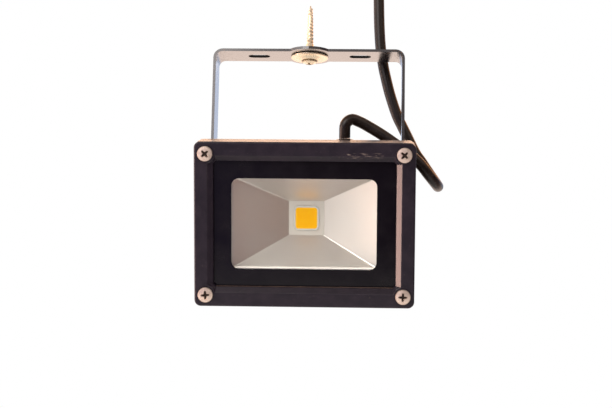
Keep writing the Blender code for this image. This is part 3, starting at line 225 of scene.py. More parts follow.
def softEdges(tree, radius):
    return addNode(tree, "ShaderNodeBevel", {"Radius": radius}, samples=4).outputs["Normal"]


def edgeWear(tree, radius):
    # 1 along the sharp edges, 0 on the flats
    low, high = 0.02, 0.25
    plain = addNode(tree, "ShaderNodeNewGeometry").outputs["Normal"]
    sockets = {0: softEdges(tree, radius), 1: plain}
    dot = addNode(tree, "ShaderNodeVectorMath", sockets, operation="DOT_PRODUCT").outputs["Value"]
    return spread(tree, maths(tree, "SUBTRACT", 1.0, dot), low, high)


def roughen(tree, shader, height, depth, edge, strength):
    # relief from a height, and edges softened over edge metres
    bump = addNode(tree, "ShaderNodeBump", {"Height": height, "Distance": depth, "Strength": strength})
    if edge:
        tree.links.new(softEdges(tree, edge), bump.inputs["Normal"])
    tree.links.new(bump.outputs["Normal"], shader.inputs["Normal"])


def feed(tree, shader, colour=None, roughness=None, **others):
    # links what drives the shader, each under its input's label
    for label, value in {"Base Color": colour, "Roughness": roughness, **others}.items():
        if value is not None:
            tree.links.new(value, shader.inputs[label])


# finishes
casting = {
    "dark": (0.0100, 0.0060, 0.0125),
    "pale": (0.0200, 0.0125, 0.0220),
    "worn": (0.24, 0.18, 0.155),
    "dust": (0.30, 0.24, 0.21),
    "dustAndPaintedReflection": (0.34, 0.225, 0.15),    # dust on what faces up, and with it a painted tan reflection
    "roughness": (0.40, 0.52),
    "coat": (0.2, 0.75),    # plain, and on the slope beside the glass
    "flecks": {"size": 0.55 * mm, "detail": 2, "low": 0.68, "high": 0.76, "strength": 0.25},
    "patches": {"size": 1.1 * mm, "detail": 4, "low": 0.47, "high": 0.62, "strength": 0.35},    # along edges
    "streaks": {
        "size": 0.5 * mm, "detail": 4, "low": 0.54, "high": 0.66, "strength": 0.9,
        "rough": 0.65, "stretch": (0.14, 1, 1),
    },
    # places on the front frame, in the lamp's own frame
    "scuffX": (20 * mm, 39 * mm, 3 * mm),
    "scuffZ": (35.4 * mm, 37.4 * mm, 0.8 * mm),
    "slopeX": (47.7 * mm, 50.4 * mm, 0.15 * mm),
    "slopeFront": (-27 * mm, -28 * mm),
    "slopeEnd": (33 * mm, 36 * mm),
}


def castingFinish():
    plain, glossy = casting["coat"]
    extra = {"Coat Weight": plain, "Coat Roughness": 0.22, "Specular IOR Level": 0.28}
    made, tree, shader = newFinish("blackCasting", casting["dark"], 0.45, extra=extra)
    cloud = grain(tree, 6 * mm, 5, 0.6)
    body = colours(tree, cloud, (0.32, casting["dark"]), (0.72, casting["pale"]))
    body = mixed(tree, spots(tree, **casting["flecks"]), body, casting["dust"])
    wear = product(tree, edgeWear(tree, 0.28 * mm), spots(tree, **casting["patches"]))
    body = mixed(tree, wear, body, casting["worn"])
    # handling has scuffed the top bar
    at = lampPlace(tree)
    scuffed = product(
        tree,
        between(tree, at["X"], *casting["scuffX"]),
        between(tree, at["Z"], *casting["scuffZ"]),
        spots(tree, **casting["streaks"]),
    )
    body = mixed(tree, scuffed, body, casting["worn"])
    # what faces up gets dust and a painted tan reflection, patchy with the cloud
    dustAndPaintedReflection = product(tree, spread(tree, upward(tree), 0.84, 0.94), spread(tree, cloud, 0.25, 0.7, 0.14, 0.4))
    body = mixed(tree, dustAndPaintedReflection, body, casting["dustAndPaintedReflection"])
    feed(tree, shader, body, spread(tree, cloud, 0.3, 0.7, *casting["roughness"]))
    # the paint is glossier on the slope beside the glass
    wide, tall = (maths(tree, "ABSOLUTE", at[axis]) for axis in "XZ")
    slope = product(
        tree,
        between(tree, wide, *casting["slopeX"]),
        spread(tree, at["Y"], *casting["slopeFront"]),
        spread(tree, tall, *casting["slopeEnd"], 1.0, 0.0),
    )
    feed(tree, shader, **{"Coat Weight": spread(tree, slope, 0, 1, plain, glossy)})
    skin = maths(tree, "ADD", grain(tree, 0.45 * mm, 3), product(tree, grain(tree, 2.2 * mm, 2), 1.4))
    roughen(tree, shader, skin, 0.04 * mm, 0.3 * mm, 0.5)
    return made


bracketPaint = {
    "black": (0.010, 0.009, 0.0105),
    "faded": (0.021, 0.018, 0.020),
    "rust": (0.20, 0.075, 0.030),
    "rustPale": (0.38, 0.17, 0.07),
    "chipped": (0.16, 0.12, 0.10),
    # the tone of the painted shade on the slot walls
    "darkening": (0.004, 0.003, 0.003),
    "roughness": (0.26, 0.9),    # glossy, and where it is rusty and on the slot walls with their painted shade
    "chips": {"size": 1.3 * mm, "detail": 3, "low": 0.58, "high": 0.66, "strength": 0.25},    # along edges
    "rustLimit": (0.80, 0.62),    # rust shows where the noise is above this, in the middle and by the bends
    # places on the web, from the middle of its top face
    "rustX": (20 * mm, 46 * mm),
    "webZ": (-9 * mm, -4 * mm),
    "slotX": (21 * mm, 34.4 * mm, 0.2 * mm),
    "slotY": (3.2 * mm, 3.4 * mm),
}


def bracketFinish():
    paint = bracketPaint
    extra = {"Coat Weight": 1.0, "Coat Roughness": 0.22, "Coat IOR": 1.8}
    made, tree, shader = newFinish("glossBlackSteel", paint["black"], 0.3, extra=extra)
    body = colours(tree, grain(tree, 8 * mm, 4), (0.35, paint["black"]), (0.7, paint["faded"]))
    # rust comes through on the web's underside, most of it by the bends
    at = split(tree, objectPlace(tree))
    side = maths(tree, "ABSOLUTE", at["X"])
    near = product(tree, spread(tree, side, *paint["rustX"]), spread(tree, at["Z"], *paint["webZ"]))
    limit = spread(tree, near, 0.0, 1.0, *paint["rustLimit"])
    rusty = maths(tree, "GREATER_THAN", grain(tree, 0.9 * mm, 3, 0.7), limit)
    rust = colours(tree, grain(tree, 0.4 * mm, 2), (0.4, paint["rust"]), (0.7, paint["rustPale"]))
    body = mixed(tree, rusty, body, rust)
    chips = product(tree, edgeWear(tree, 0.15 * mm), spots(tree, **paint["chips"]))
    body = mixed(tree, chips, body, paint["chipped"])
    # painted shade on the walls of the web's slots
    slotShade = product(
        tree,
        spread(tree, maths(tree, "ABSOLUTE", at["Y"]), *paint["slotY"], 1.0, 0.0),
        between(tree, side, *paint["slotX"]),
        spread(tree, maths(tree, "ABSOLUTE", upward(tree)), 0.3, 0.6, 1.0, 0.0),
    )
    dull = maths(tree, "MAXIMUM", rusty, slotShade)
    body = mixed(tree, slotShade, body, paint["darkening"])
    feed(tree, shader, body, spread(tree, dull, 0, 1, *paint["roughness"]))
    feed(tree, shader, **{"Coat Weight": spread(tree, dull, 0, 1, 1.0, 0.0)})
    roughen(tree, shader, grain(tree, 2.4 * mm, 2), 0.02 * mm, 0.08 * mm, 0.3)
    return made


def metalFinish(name, bright, dull, paintedShade, roughness, metallic=1.0, relief=0.010 * mm, specks=0.4):
    # plated or turned metal; a point attribute, 1 where shade is painted, and dust specks darken it
    made, tree, shader = newFinish(name, bright, roughness, metallic)
    cloud = grain(tree, 1.6 * mm, 4, 0.6)
    body = colours(tree, cloud, (0.35, dull), (0.65, bright))
    darkening = addNode(tree, "ShaderNodeAttribute", attribute_name="paintedShade").outputs["Fac"]
    darkening = maths(tree, "MAXIMUM", darkening, spots(tree, 0.35 * mm, 3, 0.68, 0.74, specks))
    rough = spread(tree, cloud, 0.3, 0.7, roughness * 0.8, roughness * 1.3)
    rough = maths(tree, "MAXIMUM", rough, spread(tree, darkening, 0, 1, 0.0, 0.8))
    # the dark tone goes where shade is painted and where dust specks lie
    body = mixed(tree, darkening, body, paintedShade)
    feed(tree, shader, body, rough, Metallic=spread(tree, darkening, 0, 1, metallic, 0.1))
    roughen(tree, shader, grain(tree, 0.3 * mm, 3, 0.6), relief, 0.12 * mm, 0.6)
    return made


def reflectorFinish():
    # anodised sheet, a soft and slightly yellow mirror
    made, tree, shader = newFinish("satinReflector", (0.92, 0.90, 0.87), 0.42, 1.0)
    cloud = grain(tree, 20 * mm, 2)
    body = colours(tree, cloud, (0.3, (0.94, 0.875, 0.815)), (0.7, (0.96, 0.91, 0.86)))
    feed(tree, shader, body, spread(tree, cloud, 0.3, 0.7, 0.40, 0.45))
    roughen(tree, shader, grain(tree, 0.2 * mm, 2), 0.002 * mm, 0.1 * mm, 0.4)
    return made


def glassFinish():
    # clear float glass that lets the lights through to what is behind it
    extra = {"Transmission Weight": 1.0, "IOR": 1.5}
    made, tree, shader = newFinish("clearGlass", (0.97, 0.99, 0.98), 0.02, extra=extra)
    feed(tree, shader, roughness=spread(tree, grain(tree, 14 * mm, 5, 0.6), 0.45, 0.75, 0.0, 0.05))
    through = addNode(tree, "ShaderNodeBsdfTransparent", {"Color": (0.92, 0.94, 0.93, 1.0)})
    rays = addNode(tree, "ShaderNodeLightPath").outputs
    lit = maths(tree, "MAXIMUM", rays["Is Shadow Ray"], rays["Is Diffuse Ray"])
    sockets = {0: lit, 1: shader.outputs["BSDF"], 2: through.outputs["BSDF"]}
    either = addNode(tree, "ShaderNodeMixShader", sockets)
    tree.links.new(either.outputs[0], tree.nodes["Material Output"].inputs["Surface"])
    return made


def printFinish():
    extra = {"Specular IOR Level": 0.3}
    made, tree, shader = newFinish("blackPrint", (0.007, 0.005, 0.008), 0.12, extra=extra)
    smear = grain(tree, 11 * mm, 5, 0.6)
    body = colours(tree, smear, (0.4, (0.005, 0.0038, 0.0065)), (0.75, (0.010, 0.0078, 0.0105)))
    feed(tree, shader, body, spread(tree, smear, 0.4, 0.7, 0.08, 0.2))
    return made


def plateFinish():
    extra = {"Coat Weight": 0.3, "Coat Roughness": 0.2}
    made, tree, shader = newFinish("whitePlate", (0.84, 0.78, 0.72), 0.38, extra=extra)
    cloud = grain(tree, 3 * mm, 4)
    body = colours(tree, cloud, (0.3, (0.94, 0.83, 0.76)), (0.7, (0.98, 0.89, 0.82)))
    feed(tree, shader, body, spread(tree, cloud, 0.3, 0.7, 0.3, 0.46))
    roughen(tree, shader, grain(tree, 0.3 * mm, 3), 0.01 * mm, 0.1 * mm, 0.5)
    return made


def damFinish():
    made, tree, shader = newFinish("damSilicone", (0.95, 0.93, 0.90), 0.35)
    cloud = grain(tree, 1.2 * mm)
    feed(tree, shader, colours(tree, cloud, (0.3, (0.93, 0.90, 0.86)), (0.7, (0.97, 0.95, 0.92))))
    roughen(tree, shader, grain(tree, 0.8 * mm, 2), 0.02 * mm, 0.0, 0.4)
    return made


emitter = {
    "deep": (1.0, 0.43, 0.0),
    "light": (1.0, 0.50, 0.004),
    "rim": (1.0, 0.60, 0.07),
    "rimWidth": (5.0 * mm, 5.55 * mm),    # from the middle, where the rim's tone sets in
    # a faint painted glow, though the lamp is not lit
    "glow": (1.0, 0.44, 0.0, 1.0),
    "strength": 0.34,
}


def emitterFinish():
    # phosphor gel, paler along its rim, with a faint painted glow
    extra = {
        "Specular IOR Level": 0.08,
        "Emission Color": emitter["glow"],
        "Emission Strength": emitter["strength"],
    }
    made, tree, shader = newFinish("phosphorGel", (1.0, 0.43, 0.002), 0.35, extra=extra)
    at = lampPlace(tree)
    reach = maths(tree, "MAXIMUM", *(maths(tree, "ABSOLUTE", at[axis]) for axis in "XZ"))
    body = colours(tree, grain(tree, 0.9 * mm, 3), (0.3, emitter["deep"]), (0.7, emitter["light"]))
    feed(tree, shader, mixed(tree, spread(tree, reach, *emitter["rimWidth"]), body, emitter["rim"]))
    roughen(tree, shader, grain(tree, 0.25 * mm, 2), 0.01 * mm, 0.2 * mm, 0.5)
    return made


def mouldedFinish(name, dark, pale, roughness, size=2 * mm, depth=0.02 * mm, edge=0.2 * mm, extra=()):
    # moulded plastic, rubber or resin
    made, tree, shader = newFinish(name, dark, roughness, extra=extra)
    cloud = grain(tree, size, 4, 0.6)
    rough = spread(tree, cloud, 0.3, 0.7, roughness * 0.85, min(1.0, roughness * 1.2))
    feed(tree, shader, colours(tree, cloud, (0.32, dark), (0.7, pale)), rough)
    roughen(tree, shader, grain(tree, 0.3 * mm, 3), depth, edge, 0.6)
    return made


sheath = {
    "dark": (0.0085, 0.0045, 0.0032),
    "pale": (0.020, 0.0120, 0.0090),
    "dust": (0.20, 0.16, 0.13),
    "dustAndPaintedSheen": (0.060, 0.036, 0.025),    # dust, and a painted sheen, on what faces up
    "roughness": (0.3, 0.44),
    "specks": {"size": 0.5 * mm, "detail": 3, "low": 0.63, "high": 0.72, "strength": 0.35},
    "marks": (1500.0, 60.0, 1.0),    # scale of the noise that marks it, round it and along it
}


def cableFinish():
    # satin rubber sheath with fine marks along it, on the tube's own UV map
    extra = {"Coat Weight": 0.15, "Coat Roughness": 0.15, "Specular IOR Level": 0.26}
    made, tree, shader = newFinish("cableRubber", (0.012, 0.008, 0.006), 0.34, extra=extra)
    cloud = grain(tree, 5 * mm, 4, 0.6)
    body = colours(tree, cloud, (0.35, sheath["dark"]), (0.7, sheath["pale"]))
    body = mixed(tree, spots(tree, **sheath["specks"]), body, sheath["dust"])
    # what faces up is paler: dust and a painted sheen
    dustAndPaintedSheen = product(tree, spread(tree, upward(tree), 0.0, 0.7), spread(tree, cloud, 0.3, 0.7, 0.35, 0.8))
    body = mixed(tree, dustAndPaintedSheen, body, sheath["dustAndPaintedSheen"])
    feed(tree, shader, body, spread(tree, cloud, 0.3, 0.7, *sheath["roughness"]))
    along = addNode(tree, "ShaderNodeUVMap").outputs["UV"]
    drawn = addNode(tree, "ShaderNodeMapping", {"Vector": along, "Scale": sheath["marks"]}).outputs["Vector"]
    lines = addNode(tree, "ShaderNodeTexNoise", {"Vector": drawn, "Scale": 1.0, "Detail": 2.0}).outputs["Fac"]
    roughen(tree, shader, lines, 0.03 * mm, 0.0, 0.5)
    return made


def coreFinish(name, colour):
    deep = tuple(c * 0.8 for c in colour)
    return mouldedFinish(name, deep, colour, 0.38, 3 * mm, 0.01 * mm, 0.1 * mm, {"Coat Weight": 0.3})


def earthFinish():
    # green and yellow halves along the wire, on the tube's own UV map
    made, tree, shader = newFinish("coreEarth", (0.08, 0.32, 0.03), 0.38, extra={"Coat Weight": 0.3})
    around = split(tree, addNode(tree, "ShaderNodeUVMap").outputs["UV"])["X"]
    band = spread(tree, maths(tree, "PINGPONG", around, 0.5), 0.22, 0.25)
    cloud = grain(tree, 3 * mm, 3)
    green = colours(tree, cloud, (0.3, (0.05, 0.25, 0.02)), (0.7, (0.08, 0.34, 0.03)))
    body = mixed(tree, band, green, (0.78, 0.62, 0.03))
    feed(tree, shader, body, spread(tree, cloud, 0.3, 0.7, 0.32, 0.45))
    return made


# each metal's bright and dull tones, the dark tone of its painted shade and dust specks, and its roughness,
# and where it differs how metallic it is, its relief and its specks
metals = {
    "steel": ("platedSteel", (0.84, 0.68, 0.58), (0.71, 0.55, 0.46), (0.035, 0.018, 0.012), 0.36, 0.6),
    "zinc": ("zincSteel", (0.72, 0.72, 0.70), (0.52, 0.52, 0.51), (0.05, 0.035, 0.03), 0.34),
    "brass": (
        "agedBrass", (0.96, 0.82, 0.63), (0.90, 0.72, 0.48), (0.26, 0.14, 0.045), 0.26, 0.65, 0.002 * mm, 0.1,
    ),
    "tin": ("tinnedCopper", (0.76, 0.75, 0.73), (0.60, 0.59, 0.57), (0.08, 0.06, 0.05), 0.3),
}

# the dark and pale tones and the roughness of what is moulded or poured
mouldings = {
    "silicone": ("greySilicone", (0.30, 0.30, 0.29), (0.42, 0.42, 0.40), 0.55),
    "pad": ("thermalPad", (0.28, 0.33, 0.42), (0.38, 0.43, 0.52), 0.8),
    "driver": ("driverCase", (0.66, 0.66, 0.64), (0.76, 0.76, 0.74), 0.5),
    "resin": ("potting", (0.012, 0.012, 0.012), (0.035, 0.034, 0.033), 0.3),
    "nylon": ("blackNylon", (0.012, 0.011, 0.011), (0.028, 0.026, 0.026), 0.42),
}

# the tone of each plain core and lead
cores = {
    "brown": ("coreBrown", (0.20, 0.075, 0.035)),
    "blue": ("coreBlue", (0.035, 0.14, 0.48)),
    "red": ("coreRed", (0.50, 0.035, 0.025)),
    "black": ("coreBlack", (0.022, 0.022, 0.022)),
}

finishes = {
    "casting": castingFinish(),
    "bracket": bracketFinish(),
    "reflector": reflectorFinish(),
    "glass": glassFinish(),
    "print": printFinish(),
    "plate": plateFinish(),
    "dam": damFinish(),
    "emitter": emitterFinish(),
    "cable": cableFinish(),
    "earth": earthFinish(),
}
for makeFinish, table in ((metalFinish, metals), (mouldedFinish, mouldings), (coreFinish, cores)):
    for label, values in table.items():
        finishes[label] = makeFinish(*values)
print("finishes:", len(finishes))


# helpers for meshes
def linked(name, data):
    # a new object in the scene
    made = bpy.data.objects.new(name, data)
    scene.collection.objects.link(made)
    return made


def newObject(name, mesh, finish, smooth):
    # edges sharper than smooth, in degrees, stay sharp
    made = linked(name, mesh)
    mesh.materials.clear()
    mesh.materials.append(finishes[finish])
    mesh.shade_smooth()
    mesh.set_sharp_from_angle(angle=math.radians(smooth))
    return made


def outward(mesh):
    # joins points that meet and turns the faces outwards
    bm = bmesh.new()
    bm.from_mesh(mesh)
    bmesh.ops.remove_doubles(bm, verts=bm.verts, dist=1e-7)
    bmesh.ops.recalc_face_normals(bm, faces=bm.faces)
    bm.to_mesh(mesh)
    bm.free()
    return mesh


def bridge(bm, one, other):
    # a band of faces between two loops of vertices
    for k in range(len(one)):
        after = (k + 1) % len(one)
        bm.faces.new((one[k], one[after], other[after], other[k]))


def meshFrom(bm, name):
    mesh = bpy.data.meshes.new(name)
    bm.to_mesh(mesh)
    bm.free()
    return mesh


def closedMesh(bm, name):
    # its faces are turned outwards
    bmesh.ops.recalc_face_normals(bm, faces=bm.faces)
    return meshFrom(bm, name)


def turnedMesh(name, profile, steps):
    # a profile of (radius, height) about Z; a radius of 0 at both ends closes on the axis, else it is a ring
    bm = bmesh.new()
    closed = profile[0][0] == 0 and profile[-1][0] == 0
    turn = [2 * math.pi * k / steps for k in range(steps)]
    loops = []
    for radius, height in (profile[1:-1] if closed else profile):
        loops.append([bm.verts.new((radius * math.cos(a), radius * math.sin(a), height)) for a in turn])
    for one, other in zip(loops, loops[1:] + ([] if closed else loops[:1])):
        bridge(bm, one, other)
    if closed:
        for height, loop in ((profile[0][1], loops[0]), (profile[-1][1], loops[-1])):
            pole = bm.verts.new((0, 0, height))
            for k in range(steps):
                bm.faces.new((pole, loop[k], loop[(k + 1) % steps]))
    return closedMesh(bm, name)


def smoothPath(route, spacing):
    # even points on the smooth curve through the route, as in the CAD model
    knots = [Vector(point) for point in route]
    knots = [2 * knots[0] - knots[1]] + knots + [2 * knots[-1] - knots[-2]]
    dense = []
    steps = 24
    for a, b, c, d in zip(knots, knots[1:], knots[2:], knots[3:]):
        square, cube = 2 * a - 5 * b + 4 * c - d, 3 * b - a - 3 * c + d
        for t in (k / steps for k in range(steps)):
            dense.append(0.5 * (2 * b + (c - a) * t + square * t**2 + cube * t**3))
    dense.append(knots[-2])
    reach = [0.0]
    for one, other in zip(dense, dense[1:]):
        reach.append(reach[-1] + (other - one).length)
    count = max(2, round(reach[-1] / spacing))
    points = []
    at = 0
    for k in range(count + 1):
        want = reach[-1] * k / count
        while at < len(reach) - 2 and reach[at + 1] < want:
            at += 1
        share = (want - reach[at]) / max(reach[at + 1] - reach[at], 1e-12)
        points.append(dense[at].lerp(dense[at + 1], min(1.0, share)))
    return points, reach[-1]


def tubeMesh(name, points, radius, sides):
    # a closed tube with a UV map: U once round, V in metres along
    ways = []
    for k in range(len(points)):
        ways.append((points[min(k + 1, len(points) - 1)] - points[max(k - 1, 0)]).normalized())
    side = ways[0].orthogonal().normalized()
    bm = bmesh.new()
    loops = []
    for k, (point, way) in enumerate(zip(points, ways)):
        if k:
            side = ways[k - 1].rotation_difference(way) @ side
            side = (side - way * side.dot(way)).normalized()
        other = way.cross(side)
        ring = []
        for j in range(sides):
            angle = 2 * math.pi * j / sides
            ring.append(bm.verts.new(point + radius * (math.cos(angle) * side + math.sin(angle) * other)))
        loops.append(ring)
    layer = bm.loops.layers.uv.new("UVMap")
    reach = 0.0
    for k in range(len(points) - 1):
        step = (points[k + 1] - points[k]).length
        for j in range(sides):
            after = (j + 1) % sides
            face = bm.faces.new((loops[k][j], loops[k][after], loops[k + 1][after], loops[k + 1][j]))
            marks = ((j, reach), (j + 1, reach), (j + 1, reach + step), (j, reach + step))
            for corner, (around, along) in zip(face.loops, marks):
                corner[layer].uv = (around / sides, along)
        reach += step
    for ring, point in ((loops[0], points[0]), (loops[-1], points[-1])):
        pole = bm.verts.new(point)
        for j in range(sides):
            bm.faces.new((pole, ring[j], ring[(j + 1) % sides]))
    return closedMesh(bm, name)


# the two earth wires, whose yellow stripe follows them
earthRoutes = {
    # in mm from the middle of the bracket's top face
    "earthCore": {
        "radius": 1.05 * mm, "node": "core_earth", "body": "bracket",
        "route": [(38.44, 13.62, 64.3), (38.70, 13.48, 69.3), (40.69, 12.32, 77.3), (42.25, 11.42, 86.3)],
    },
    # in mm in the lamp's own frame: X, depth behind the front face, and Z
    "earthLead": {
        "radius": 0.8 * mm, "node": "lead_earth", "body": "lamp",
        "route": [
            (21.5, 29.0, 21.3), (21.5, 29.0, 20.1), (24.1, 30.6, 18.3), (31.1, 29.5, 13.3),
            (33.0, 30.8, 4.0), (30.6, 32.85, -4.0), (30.0, 32.85, -8.7),
        ],
    },
}


def makeEarthWires():
    wires = {}
    for name, size in earthRoutes.items():
        knots = [Vector(point) * mm for point in size["route"]]
        if size["body"] == "lamp":
            knots = [inLamp(*knot).translation for knot in knots]
        points, _ = smoothPath(knots, 0.8 * mm)
        made = newObject(name, tubeMesh(name, points, size["radius"], 20), "earth", 50)
        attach(made, size["body"])
        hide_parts(size["node"])
        wires[name] = made
    print("earth wires made")
    return wires


earthWires = makeEarthWires()


# the cable, from the gland round the bracket's right leg and up behind it
cable = {
    "diameter": 6.0 * mm,
    "step": 1.2 * mm,
    "sides": 28,
    "gland": (20.1 * mm, 29.0 * mm),    # the gland's X and depth
    "leaves": 43.1 * mm,    # the height over the lamp's middle at which it leaves the gland nut
    "straight": 2.2 * mm,
    # in metres from the middle of the bracket's top face
    "route": [
        (0.0205, -0.0187, -0.0440), (0.0237, -0.0183, -0.0412), (0.0282, -0.0172, -0.0424),
        (0.0323, -0.0164, -0.0444), (0.0395, -0.0156, -0.0486), (0.0469, -0.0150, -0.0536),
        (0.0538, -0.0144, -0.0586), (0.0602, -0.0130, -0.0639), (0.0651, -0.0102, -0.0694),
        (0.0688, -0.0049, -0.0728), (0.0704, 0.0025, -0.0730), (0.0696, 0.0100, -0.0697),
        (0.0665, 0.0156, -0.0637), (0.0622, 0.0178, -0.0566), (0.0585, 0.0182, -0.0511),
        (0.0543, 0.0180, -0.0426), (0.0511, 0.0176, -0.0361), (0.0481, 0.0172, -0.0298),
        (0.0442, 0.0162, -0.0181), (0.0414, 0.0154, -0.0069), (0.0402, 0.0150, -0.0009),
        (0.0389, 0.0146, 0.0079), (0.0381, 0.0144, 0.0194), (0.0377, 0.0144, 0.0322),
        (0.0374, 0.0144, 0.0486), (0.0371, 0.0144, 0.0640),
    ],
}


def makeCable():
    x, depth = cable["gland"]
    leave = inLamp(x, depth, cable["leaves"]).translation
    straight = inLamp(x, depth, cable["leaves"] + cable["straight"]).translation
    route = [leave, straight] + [Vector(point) for point in cable["route"]]
    points, length = smoothPath(route, cable["step"])
    mesh = tubeMesh("cableSheath", points, cable["diameter"] / 2, cable["sides"])
    made = newObject("cableSheath", mesh, "cable", 50)
    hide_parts("cable")
    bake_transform(made)
    print("cable:", round(length, 4), "m")


makeCable()


# helpers for Geometry Nodes
def newTree(name, inputs):
    tree = bpy.data.node_groups.new(name, "GeometryNodeTree")
    for label, kind in [("Geometry", "Geometry"), *inputs]:
        tree.interface.new_socket(label, in_out="INPUT", socket_type="NodeSocket" + kind)
    tree.interface.new_socket("Geometry", in_out="OUTPUT", socket_type="NodeSocketGeometry")
    start = tree.nodes.new("NodeGroupInput")
    end = tree.nodes.new("NodeGroupOutput")
    return tree, start.outputs, end.inputs["Geometry"]


def evaluated(target):
    # the object with its modifiers applied, as a plain mesh
    view = bpy.context.evaluated_depsgraph_get()
    return bpy.data.meshes.new_from_object(target.evaluated_get(view), depsgraph=view)


def runTree(tree, target, values):
    modifier = target.modifiers.new(tree.name, "NODES")
    modifier.node_group = tree
    for item in tree.interface.items_tree:
        if item.in_out == "INPUT" and item.name in values:
            modifier[item.identifier] = values[item.name]
    mesh = evaluated(target)
    target.modifiers.remove(modifier)
    return mesh


def threadedTree():
    # one fastener on every point: a given head and shank, and a thread wound round the shank
    tree, inputs, end = newTree(
        "threadedFasteners",
        [
            ("Fastener", "Object"), ("Thread Radius", "Float"), ("Thread Height", "Float"),
            ("Tip Radius", "Float"), ("Pitch", "Float"), ("Thread Start", "Float"),
            ("Thread Length", "Float"), ("Finish", "Material"),
        ],
    )
    sockets = {
        "Resolution": 24, "Rotations": maths(tree, "DIVIDE", inputs["Thread Length"], inputs["Pitch"]),
        "Start Radius": inputs["Thread Radius"], "End Radius": inputs["Tip Radius"],
        "Height": inputs["Thread Length"],
    }
    spiral = addNode(tree, "GeometryNodeCurveSpiral", sockets)
    sockets = {"Resolution": 4, "Radius": inputs["Thread Height"]}
    ridge = addNode(tree, "GeometryNodeCurvePrimitiveCircle", sockets)
    sockets = {"Curve": spiral.outputs["Curve"], "Profile Curve": ridge.outputs["Curve"], "Fill Caps": True}
    wound = addNode(tree, "GeometryNodeCurveToMesh", sockets)
    lower = addNode(tree, "ShaderNodeCombineXYZ", {"Z": inputs["Thread Start"]})
    sockets = {"Geometry": wound.outputs[0], "Translation": lower.outputs[0]}
    placed = addNode(tree, "GeometryNodeTransform", sockets)
    master = addNode(tree, "GeometryNodeObjectInfo", {"Object": inputs["Fastener"]})
    both = addNode(tree, "GeometryNodeJoinGeometry")
    tree.links.new(master.outputs["Geometry"], both.inputs[0])
    tree.links.new(placed.outputs["Geometry"], both.inputs[0])
    twist = addNode(tree, "GeometryNodeInputNamedAttribute", {"Name": "twist"}, data_type="FLOAT")
    turned = addNode(tree, "ShaderNodeCombineXYZ", {"Z": twist.outputs["Attribute"]})
    sockets = {"Points": inputs["Geometry"], "Instance": both.outputs[0], "Rotation": turned.outputs[0]}
    copies = addNode(tree, "GeometryNodeInstanceOnPoints", sockets)
    # the instances become real faces, in the finish that is given
    real = addNode(tree, "GeometryNodeRealizeInstances", {"Geometry": copies.outputs["Instances"]})
    sockets = {"Geometry": real.outputs[0], "Material": inputs["Finish"]}
    coated = addNode(tree, "GeometryNodeSetMaterial", sockets)
    tree.links.new(coated.outputs[0], end)
    return tree


threads = threadedTree()


def pointsObject(places, twists):
    # where copies go, each turned by its own twist in degrees
    mesh = bpy.data.meshes.new("threadedPoints")
    mesh.from_pydata(places, [], [])
    layer = mesh.attributes.new("twist", "FLOAT", "POINT")
    layer.data.foreach_set("value", [math.radians(twist) for twist in twists])
    return linked("threadedPoints", mesh)


def crossRecess(span, width, depth, top):
    # the cutter of a cross recess with blunt arms, narrower at its bottom
    bm = bmesh.new()
    half, reach = width / 2, span / 2
    arm = [(reach - 0.7 * half, -half), (reach - 0.2 * half, -0.75 * half), (reach, -0.3 * half)]
    arm += [(x, -y) for x, y in reversed(arm)] + [(1.35 * half, 1.35 * half)]
    outline = []
    for quarter in range(4):
        turn = Matrix.Rotation(math.radians(90 * quarter), 3, "Z")
        outline += [turn @ Vector((x, y, 0)) for x, y in arm]
    levels = ((1.04, top + 0.5 * mm), (1.0, top - 0.3 * mm), (0.72, top - depth), (0.1, top - depth * 1.2))
    rings = []
    for share, height in levels:
        rings.append([bm.verts.new((p.x * share, p.y * share, height)) for p in outline])
    for one, other in zip(rings, rings[1:]):
        bridge(bm, one, other)
    bm.faces.new(rings[0])
    bm.faces.new(rings[-1])
    return closedMesh(bm, "crossRecess")


def cutFrom(mesh, cutterMesh, operation="DIFFERENCE"):
    body, tool = linked("bodyToCut", mesh), linked("cutter", cutterMesh)
    step = body.modifiers.new("cut", "BOOLEAN")
    step.operation = operation
    step.solver = "EXACT"
    step.object = tool
    done = evaluated(body)
    bpy.data.objects.remove(body)
    bpy.data.objects.remove(tool)
    return done


def panHead(head, side, edge, height):
    # a flat pan head from its underside up: side, rounded edge, low dome
    foot, edgeSteps, domeSteps = 0.12 * mm, 6, 8
    profile = [(head - foot, 0), (head, foot), (head, side)]
    for k in range(1, edgeSteps + 1):
        angle = math.radians(90) * k / edgeSteps
        profile.append((head - edge * (1 - math.cos(angle)), side + 0.8 * edge * math.sin(angle)))
    reach, low = profile[-1]
    for k in range(1, domeSteps + 1):
        out = 1 - k / domeSteps
        profile.append((reach * out, low + (height - low) * (1 - out**2)))
    profile[-1] = (0, height)
    return profile


def markPaintedShade(mesh, shadeAt):
    # the given function gives each point's painted shade, 0 to 1, from its distance to the axis and its
    # height
    layer = mesh.attributes.new("paintedShade", "FLOAT", "POINT")
    places = [vertex.co for vertex in mesh.vertices]
    layer.data.foreach_set("value", [shadeAt(math.hypot(place.x, place.y), place.z) for place in places])


def screwMesh(name, profile, size):
    # a turned screw with its cross recess; shade is painted in the recess and, less, on the rim
    profile = profile + panHead(size["head"], size["side"], size["edge"], size["height"])
    mesh = cutFrom(
        turnedMesh(name, profile, 64),
        crossRecess(size["recess"], size["slot"], size["recessDepth"], size["height"]),
    )
    reach, rim = size["recess"] / 2 + 0.1 * mm, size["head"] - size["shadedRim"]
    high = size["height"] - size["recessShadeBelow"]
    low, onRim = high - 3 * mm, 0.45

    def shadeAt(out, height):
        inRecess = out < reach and low < height < high
        return 1.0 if inRecess else onRim if out > rim else 0.0

    markPaintedShade(mesh, shadeAt)
    return mesh


